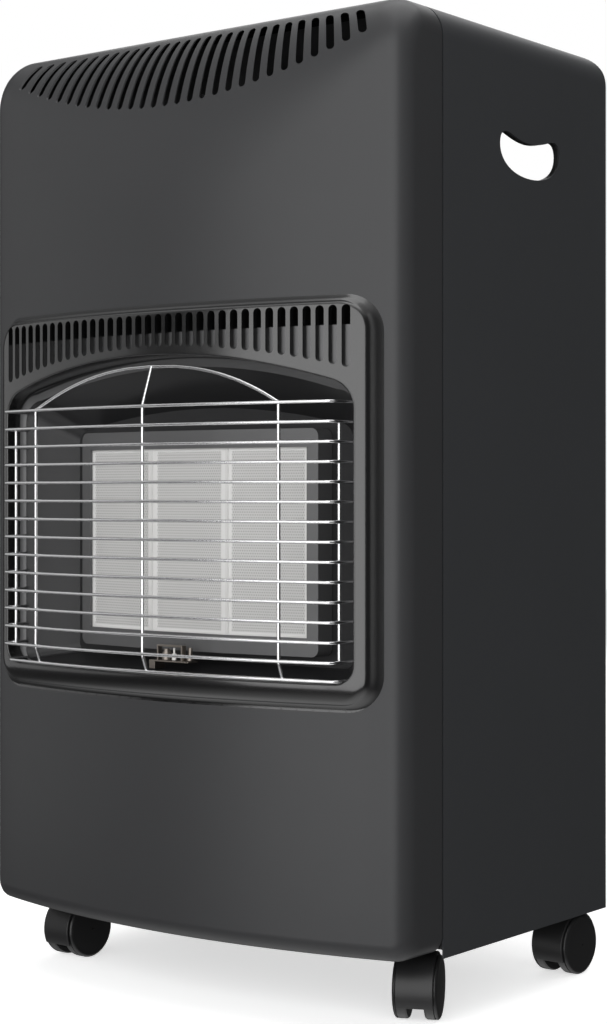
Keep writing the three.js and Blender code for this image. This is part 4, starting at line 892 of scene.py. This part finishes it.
# ------------------------------------------------------------------ burner recess
def recess_ring(share, grow, y):
    """A closed loop on the recess wall. Share 0 is the opening, share 1 the back panel; sizes are mixed between. The
    roof is a parabola that meets the sides in quarter ellipses."""
    def mixed(front, back):
        return front + (back - front) * share

    half = OPENING_HALF * (1 - RECESS_NARROWS * share) + grow
    low = mixed(OPENING_LOW, RECESS_BACK_Z[0]) - grow
    top = mixed(OPENING_TOP, RECESS_BACK_Z[1]) + grow
    crown, corner, small = mixed(*ROOF_CROWN), mixed(*ROOF_CORNER), FLOOR_CORNER
    x = np.linspace(half - corner, -half + corner, 41)
    roof = np.stack((x, top - crown * (x / half) ** 2), axis=-1)
    right = arc((half - corner, roof[0, 1] - corner), corner, 0, 90, 9)[:-1]
    floor = np.concatenate((arc((-half + small, low + small), small, 180, 270, 6),
                            arc((half - small, low + small), small, 270, 360, 6)))
    return upright(np.concatenate((floor, right, roof, right[::-1] * (-1, 1))), y)


def recess_body(grow, front, back):
    """Rings from the opening to the back panel; the inner wall curves in as the sine of the way back."""
    shares = np.sin(np.linspace(0, math.pi / 2, 7)) if grow < 0 else np.linspace(0, 1, 7)
    depths = np.linspace(front, back, 7)
    return lofted([recess_ring(share, grow, y) for share, y in zip(shares, depths)])


class HEATER_OT_recess(bpy.types.Operator):
    """Enamelled recess, burner frame, burner bodies and the way that the gas takes to them"""

    bl_idname = "heater.recess"
    bl_label = "Burner recess"

    def execute(self, context):
        half, low, high = BURNER_HOLE
        hole = block((-half, half), (RECESS_BACK - 5, RECESS_BACK + 2), (low, high))
        shown("recess_shell", [recess_body(SHEET, RECESS_FRONT, RECESS_BACK)], "enamel", "enamel",
              cuts=([recess_body(0, RECESS_FRONT - 0.5, RECESS_BACK - SHEET)], [hole]), nodes=("reflector_housing",),
              crease=30)
        flange = prism(rounded_rectangle(*RECESS_FLANGE, 14), 1, RECESS_FRONT + 0.1, RECESS_FRONT + SHEET)
        mouth = recess_body(SHEET, RECESS_FRONT - 1, RECESS_FRONT + 9)
        shown("recess_flange", [flange], "frame", "enamel", cuts=([mouth],))
        shown("slot_backing", [slot_backing()], "frame", "enamel")
        softened_node("burner_frame", "frame", "enamel", 0.6)
        for side in ("left", "center", "right"):
            softened_node(f"burner_body_{side}", "zinc", "zinc", 0.4)
        softened_node("injector_rail", "brass", "brass", 0.3)
        softened_node("supply_pipe", "zinc", "zinc", 0.0, crease=60)
        softened_node("gas_valve", "cast", "cast_alloy", 0.6)
        softened_node("inlet_nozzle", "brass", "brass", 0.15)
        return {"FINISHED"}


# ------------------------------------------------------------------ plaques
def plaque_part():
    """One plaque: its front is a grid whose height falls by a small step inside the perforated field; its sides and
    back are flat. Returns the points, the faces and the field's mask."""
    width, thick, height = PLAQUE
    (low, high), (step_x, step_z) = FIELD_Z, FIELD_STEP
    edges = np.array((FIELD_HALF - step_x, FIELD_HALF))
    x = np.unique(np.concatenate((np.linspace(-width / 2, width / 2, 31), -edges, edges)))
    z = np.unique(np.concatenate((np.linspace(0, height, 51), (low, low + step_z, high - step_z, high))))
    grid_x, grid_z = np.meshgrid(x, z, indexing="ij")
    inside_x = np.clip((FIELD_HALF - np.abs(grid_x)) / step_x, 0, 1)
    inside_z = np.clip(np.minimum(grid_z - low, high - grid_z) / step_z, 0, 1)
    field = inside_x * inside_z
    front = xyz(grid_x, field * FIELD_DEPTH, grid_z + PLAQUE_Z)
    rear = front * (1, 0, 1) + (0, thick, 0)
    count = grid_x.size
    faces = grid_faces(len(x), len(z))
    edge = np.concatenate((np.arange(len(z)), np.arange(1, len(x)) * len(z) + len(z) - 1,
                           (len(x) - 1) * len(z) + np.arange(len(z) - 2, -1, -1),
                           np.arange(len(x) - 2, 0, -1) * len(z)))
    following = np.roll(edge, -1)
    rim = np.stack((edge, following, following + count, edge + count), axis=-1)
    points = np.concatenate((front.reshape(-1, 3), rear.reshape(-1, 3)))
    faces = np.concatenate((faces, faces + count, rim))
    return points, faces.tolist(), np.concatenate((field.ravel(), np.zeros(count)))


class HEATER_OT_plaques(bpy.types.Operator):
    """Three perforated ceramic plaques, the outer two turned back a little, with a pale strip in each joint"""

    bl_idname = "heater.plaques"
    bl_label = "Ceramic plaques"

    def execute(self, context):
        points, faces, field = plaque_part()
        for name, side in (("left", -1), ("center", 0), ("right", 1)):
            step = side * (PLAQUE[0] / 2 + GAP)
            local = (points * (PLAQUE_FITS[abs(side)], 1, 1), faces)
            part = shifted(spun(shifted(local, x=step), side * PLAQUE_TURN), x=step, y=PLAQUE_Y)
            if side:
                part[0][:, 0] = side * np.maximum(side * part[0][:, 0], PLAQUE[0] / 2 + 2 * GAP)
            mesh = bpy.data.meshes.new(f"plaque_{name}")
            mesh.from_pydata(placed(part[0]).tolist(), [], faces)
            mask = mesh.attributes.new("field", "FLOAT", "POINT")
            mask.data.foreach_set("value", field.astype(np.float32))
            layer = mesh.uv_layers.new(name="millimetres")
            corners = np.zeros(len(mesh.loops), np.int32)
            mesh.loops.foreach_get("vertex_index", corners)
            layer.data.foreach_set("uv", (points[corners][:, (0, 2)]).astype(np.float32).ravel())
            with edited(mesh) as work:
                bmesh.ops.recalc_face_normals(work, faces=work.faces)
            finished(linked(f"plaque_{name}", mesh), "ceramic", "ceramic", nodes=(f"ceramic_plaque_{name}",), crease=40)
            if side:
                strip = block(sorted((side * JOINT_X[0], side * JOINT_X[1])),
                              (PLAQUE_Y - JOINT_PROUD, PLAQUE_Y + PLAQUE[1] - 1),
                              (PLAQUE_Z + GAP, PLAQUE_Z + PLAQUE[2] - GAP))
                shown(f"plaque_joint_{name}", [strip], "joint", "ceramic")
        return {"FINISHED"}


# ------------------------------------------------------------------ pilot
class HEATER_OT_pilot(bpy.types.Operator):
    """Pilot group below the middle plaque"""

    bl_idname = "heater.pilot"
    bl_label = "Pilot group"

    def execute(self, context):
        softened_node("pilot_bracket", "burnt", "zinc", 0.2)
        for name, finish, slot in (("pilot_burner", "burnt", "brass"), ("spark_electrode", "porcelain", "ceramic"),
                                   ("thermocouple", "burnt", "brass")):
            softened_node(name, finish, slot, 0.15, crease=50)
        return {"FINISHED"}


# ------------------------------------------------------------------ controls
def dial_marks():
    """Raised marks on the dish: short bars on a circle round the knob, the first one wider."""
    marks = []
    for index, angle in enumerate(np.linspace(90, 300, 6)):
        half = 0.45 if index else 0.8
        bar = block(DIAL_RING, (-half, half), (PANEL_FLOOR, PANEL_FLOOR + 0.25))
        marks.append(shifted(spun(bar, angle), *KNOB_AT))
    return marks


class HEATER_OT_controls(bpy.types.Operator):
    """Control dish on the top with its knob and igniter button"""

    bl_idname = "heater.controls"
    bl_label = "Controls"

    def execute(self, context):
        softened_node("control_panel", "plastic", "black_plastic", 0.9)
        shown("dial_marks", dial_marks(), "mark", "black_plastic")
        grip = turned(KNOB_PROFILE, 144, lambda t: 1 + 0.012 * np.cos(18 * t))
        bore = turned(KNOB_BORE, 32)
        pointer = block(*KNOB_POINTER)
        grip, bore, pointer = (shifted(part, *KNOB_AT, KNOB_LOW) for part in (grip, bore, pointer))
        shown("control_knob_grip", [grip], "knob", "knob_plastic", cuts=([bore],), body="control_knob",
              nodes=("control_knob",), crease=40)
        shown("knob_pointer", [pointer], "mark", "knob_plastic", body="control_knob", bevel=0.2)
        start, end = (corner.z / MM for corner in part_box("igniter_button"))
        crown = [(0, start), (7.3, start), (7.3, end - 1.6), (6.9, end - 0.5), (6.0, end), (4.0, end - 0.5),
                 (0, end - 0.9)]
        shown("igniter_cap", [shifted(turned(crown, 48), *BUTTON_AT)], "button", "button_plastic",
              body="igniter_button", nodes=("igniter_button",), crease=40)
        softened_node("piezo_igniter", "plastic", "black_plastic", 0.4)
        softened_node("valve_spindle", "zinc", "zinc", 0.3, body="valve_spindle")
        return {"FINISHED"}


# ------------------------------------------------------------------ rear cover
def rear_dome():
    """Rounded rectangles from the middle of the bulge out to the flange and back inside. Between flat top and flange
    the height falls as a smooth step of the inset."""
    back = CABINET_BACK + GAP
    half, low, high = REAR_COVER
    middle = np.array((0, (low + high) / 2))
    rings = []

    def ring(inset, y, radius, share=1.0):
        outline = rounded_rectangle(half - inset, low + inset, high - inset, radius, corner=8, edge=6)
        rings.append(upright(middle + (outline - middle) * share, y))

    t = np.linspace(0, 1, 12)
    slope = DOME_INSET - DOME_FOOT
    drop = (DOME_HEIGHT - SHEET) * (0.5 - 0.5 * np.cos(math.pi * t))
    ring(DOME_INSET, back + DOME_HEIGHT, DOME_RADIUS, 0.02)
    for inset, height in zip(DOME_INSET - slope * t, DOME_HEIGHT - drop):
        ring(inset, back + height, DOME_RADIUS - DOME_NARROWS * (DOME_INSET - inset))
    ring(0.8, back + SHEET, REAR_CORNER)
    ring(0, back + SHEET * 0.5, REAR_CORNER)
    ring(0, back, REAR_CORNER)
    for inset, height in zip(DOME_FOOT + slope * t + 0.6, drop):
        ring(inset, back + height, 31 + DOME_NARROWS * (inset - DOME_FOOT))
    ring(DOME_INSET + 0.6, back + DOME_HEIGHT - SHEET, DOME_RADIUS, 0.02)
    return lofted(rings)


class HEATER_OT_rear_cover(bpy.types.Operator):
    """Lift-off rear cover with its bulge for the bottle and a block of louvres"""

    bl_idname = "heater.rear_cover"
    bl_label = "Rear cover"

    def execute(self, context):
        outline = stadium(0, -LOUVRE_HALF, LOUVRE_HALF, LOUVRE_WIDTH)
        slot = spun(prism(outline, 1, *LOUVRE_Y), 90, axis=1)
        louvres = [shifted(slot, z=LOUVRE_LOW + LOUVRE_PITCH * index) for index in range(LOUVRE_COUNT)]
        shown("rear_cover_shell", [rear_dome()], "cabinet", "cabinet_paint", cuts=(louvres,), body="rear_cover",
              nodes=("rear_cover",), crease=30)
        return {"FINISHED"}


# ------------------------------------------------------------------ casters
def wheel_part(sign):
    """A wheel about its own axle: a tread, a thin groove and a domed outer disc, turned and laid on its side."""
    w, r = WHEEL_WIDTH, WHEEL_RADIUS
    profile = [(2.9, 0), (r - 3.0, 0), (r - 0.8, 0.5), (r, 1.6), (r, 7.6), (r - 0.9, 8.0), (r - 0.9, 8.5), (r, 8.8),
               (r, 9.2), (r - 0.5, 10.0), (r - 1.5, 10.7), (r - 2.6, 11.0), (r - 3.2, 10.9), (r - 6, 11.4),
               (r * 0.45, 11.8), (r * 0.2, w), (0.6, w), (0.6, w - 2.4), (2.9, w - 2.7)]
    return shifted(spun(turned(profile, 72), 90 * sign, axis=1), sign * WHEEL_INNER, -CASTER_TRAIL, WHEEL_RADIUS)


def hood_parts():
    """The hood about the wheels' axle: a band on an arc, a rounded rib between the wheels and a boss for the stem."""
    inner, outer = HOOD_RADII
    centre = (-CASTER_TRAIL, WHEEL_RADIUS)
    angle = np.radians(np.linspace(*HOOD_ARC, 48))[:, None]
    edge = HOOD_HALF - 0.5
    section = [(inner, -HOOD_HALF), (outer - 0.5, -HOOD_HALF), (outer, -edge), (outer, edge), (outer - 0.5, HOOD_HALF),
               (inner, HOOD_HALF)]
    r, x = np.array(section).T
    band = xyz(x, centre[0] + r * np.cos(angle), centre[1] + r * np.sin(angle))
    web = WHEEL_INNER - 0.6
    sector = np.concatenate((arc(centre, inner + 0.4, 2, 200, 40), arc(centre, 5.4, 200, 2, 16)))
    return [lofted(band), prism(sector, 0, -web, web), block((-web, web), (-web, web), BOSS_Z)]


class HEATER_OT_casters(bpy.types.Operator):
    """Four twin-wheel casters, each with a hood, a stem, an axle and two wheels"""

    bl_idname = "heater.casters"
    bl_label = "Casters"

    def execute(self, context):
        for name, (x, y, turn) in CASTERS.items():
            def standing(part):
                return shifted(spun(part, turn), x, y)

            body = f"caster_{name}"
            shown(f"hood_{name}", [standing(part) for part in hood_parts()], "plastic", "caster_plastic", body=body,
                  nodes=(f"caster_hood_{name}",), crease=35, bevel=0.25)
            for side, sign in SIDES:
                wheel = f"wheel_{name}_{side}"
                shown(wheel, [standing(wheel_part(sign))], "wheel", "wheel_plastic", body=wheel,
                      nodes=(f"caster_{wheel}",), crease=25)
            softened_node(f"caster_stem_{name}", "zinc", "zinc", 0.3, body)
            softened_node(f"caster_axle_{name}", "zinc", "zinc", 0.2, body)
            softened_node(f"caster_socket_{name}", "plastic", "caster_plastic", 0.4)
        return {"FINISHED"}


# ------------------------------------------------------------------ stage
CAMERA_AT = (1056.98, -1254.05, 392.1)
CAMERA_TURN = 0.6609
CAMERA_LENS = 72.71
CAMERA_SHIFT = -0.0193
FLOOR_HALF = 6.0
FLOOR_BOUNCE = (0.35, 0.35, 0.35, 1.0)
FLOOR_GLOW = 0.58
WORLD_DIFFUSE = 0.22
WORLD_GLOSSY = (0.05, 1.0)  # near the horizon, overhead
WORLD_RISE = (0.45, 0.95)
LAMPS = [  # name, place, target, size, power
    ("key", (0.5, -2.92, 0.8), (0, 0, 0.5), (4.2, 3.8), 108),
    ("left", (-2.7, -1.4, 0.9), (0, 0, 0.5), (2.2, 3.0), 11),
    ("side", (2.3, -1.9, 0.4), (0, 0, 0.4), (3.0, 3.0), 45),
    ("top", (0.3, 0.3, 3.0), (0, 0, 0), (3.0, 3.0), 34),
    ("back", (-1.6, 2.6, 1.8), (0, 0, 0.4), (2.4, 2.4), 25),
]


def seen_directly(tree):
    """A light path node, and 1 where a ray comes from the camera or through glass."""
    path = node(tree, "LightPath").outputs
    return path, reckoned(tree, "MAXIMUM", path["Is Camera Ray"], path["Is Transmission Ray"])


def pale_floor():
    """White where the camera sees it, with the shadow kept; a plain grey for the light that it throws back."""
    material = coated("Pale floor", (0.93, 0.93, 0.93), 0.8, bump=0.0, spread=0.0, rough_spread=0.0, sheen_level=0.1)
    tree = material.node_tree
    shader = tree.nodes["Principled BSDF"]
    path, direct = seen_directly(tree)
    seen = reckoned(tree, "MAXIMUM", direct, path["Is Glossy Ray"])
    shade = node(tree, "Mix", {"data_type": "RGBA"}, Factor=seen, _6=FLOOR_BOUNCE,
                 _7=shader.inputs["Base Color"].links[0].from_socket)
    tree.links.new(shade.outputs[2], shader.inputs["Base Color"])
    shader.inputs["Emission Color"].default_value = (1, 1, 1, 1)
    tree.links.new(reckoned(tree, "MULTIPLY", seen, FLOOR_GLOW), shader.inputs["Emission Strength"])
    return material


def studio():
    """A white background for the camera. As light it is dim, and in reflections it grows with the steepness of the
    ray."""
    world = bpy.data.worlds.new("Studio")
    world.use_nodes = True
    tree = world.node_tree
    path, direct = seen_directly(tree)
    way = node(tree, "TexCoord")
    apart = node(tree, "SeparateXYZ", Vector=way.outputs["Generated"])
    above = node(tree, "MapRange", {"interpolation_type": "SMOOTHSTEP"},
                 Value=reckoned(tree, "ABSOLUTE", apart.outputs["Z"]), _1=WORLD_RISE[0], _2=WORLD_RISE[1],
                 _3=WORLD_GLOSSY[0], _4=WORLD_GLOSSY[1])
    soft = node(tree, "MapRange", Value=path["Is Glossy Ray"], _3=WORLD_DIFFUSE, _4=above.outputs[0])
    background = tree.nodes["Background"]
    background.inputs["Color"].default_value = (1, 1, 1, 1)
    tree.links.new(reckoned(tree, "MAXIMUM", direct, soft.outputs[0]), background.inputs["Strength"])
    return world


class HEATER_OT_stage(bpy.types.Operator):
    """Pale floor, soft lamps and the camera at the photograph's angle"""

    bl_idname = "heater.stage"
    bl_label = "Stage"

    def execute(self, context):
        scene = context.scene
        camera = linked("Camera", bpy.data.cameras.new("Camera"))
        camera.location = placed([CAMERA_AT])[0]
        camera.rotation_euler = (math.radians(90), 0, CAMERA_TURN)
        camera.data.lens = CAMERA_LENS
        camera.data.sensor_width = 36
        camera.data.shift_y = CAMERA_SHIFT
        scene.camera = camera
        scene.view_settings.view_transform = "Standard"
        scene.world = studio()

        floor = bpy.data.meshes.new("floor")
        corners = [(x * FLOOR_HALF, y * FLOOR_HALF, 0) for x, y in ((-1, -1), (1, -1), (1, 1), (-1, 1))]
        floor.from_pydata(corners, [], [(0, 1, 2, 3)])
        floor.materials.append(pale_floor())
        ground = linked("floor", floor)
        ground.visible_glossy = False

        for name, place, target, size, power in LAMPS:
            light = bpy.data.lights.new(name, "AREA")
            light.shape = "RECTANGLE"
            light.size, light.size_y = size
            light.energy = power
            lamp = linked(name, light)
            lamp.visible_camera = False
            lamp.visible_glossy = name != "side"
            lamp.location = place
            direction = np.array(target) - np.array(place)
            lamp.rotation_euler = (math.acos(-direction[2] / np.linalg.norm(direction)), 0,
                                   math.atan2(direction[1], direction[0]) - math.pi / 2)
        return {"FINISHED"}


# ------------------------------------------------------------------ add-on
OPERATORS = (HEATER_OT_front_cover, HEATER_OT_cabinet, HEATER_OT_surround, HEATER_OT_guard, HEATER_OT_recess,
             HEATER_OT_plaques, HEATER_OT_pilot, HEATER_OT_controls, HEATER_OT_rear_cover, HEATER_OT_casters,
             HEATER_OT_stage)


class HEATER_PT_pieces(bpy.types.Panel):
    """Lists the sizes, the colours and the pieces of the heater"""

    bl_label = "Gas cabinet heater"
    bl_space_type = "VIEW_3D"
    bl_region_type = "UI"
    bl_category = "Heater"

    def draw(self, context):
        for group in (context.scene.heater_sizes, context.scene.heater_colours):
            for name in group.bl_rna.properties.keys()[2:]:
                self.layout.prop(group, name)
        for operator in OPERATORS:
            self.layout.operator(operator.bl_idname)


CLASSES = (HeaterSizes, HeaterColours, *OPERATORS, HEATER_PT_pieces)


def register():
    for item in CLASSES:
        bpy.utils.register_class(item)
    bpy.types.Scene.heater_sizes = bpy.props.PointerProperty(type=HeaterSizes)
    bpy.types.Scene.heater_colours = bpy.props.PointerProperty(type=HeaterColours)


def unregister():
    del bpy.types.Scene.heater_colours
    del bpy.types.Scene.heater_sizes
    for item in reversed(CLASSES):
        bpy.utils.unregister_class(item)


def main():
    """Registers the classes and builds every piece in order."""
    register()
    FINISH.update(make_finishes(bpy.context.scene.heater_colours))
    for operator in OPERATORS:
        group, name = operator.bl_idname.split(".")
        result = getattr(getattr(bpy.ops, group), name)()
        if result != {"FINISHED"}:
            raise RuntimeError(f"{operator.bl_label} wasn't built")


if __name__ == "__main__":
    main()
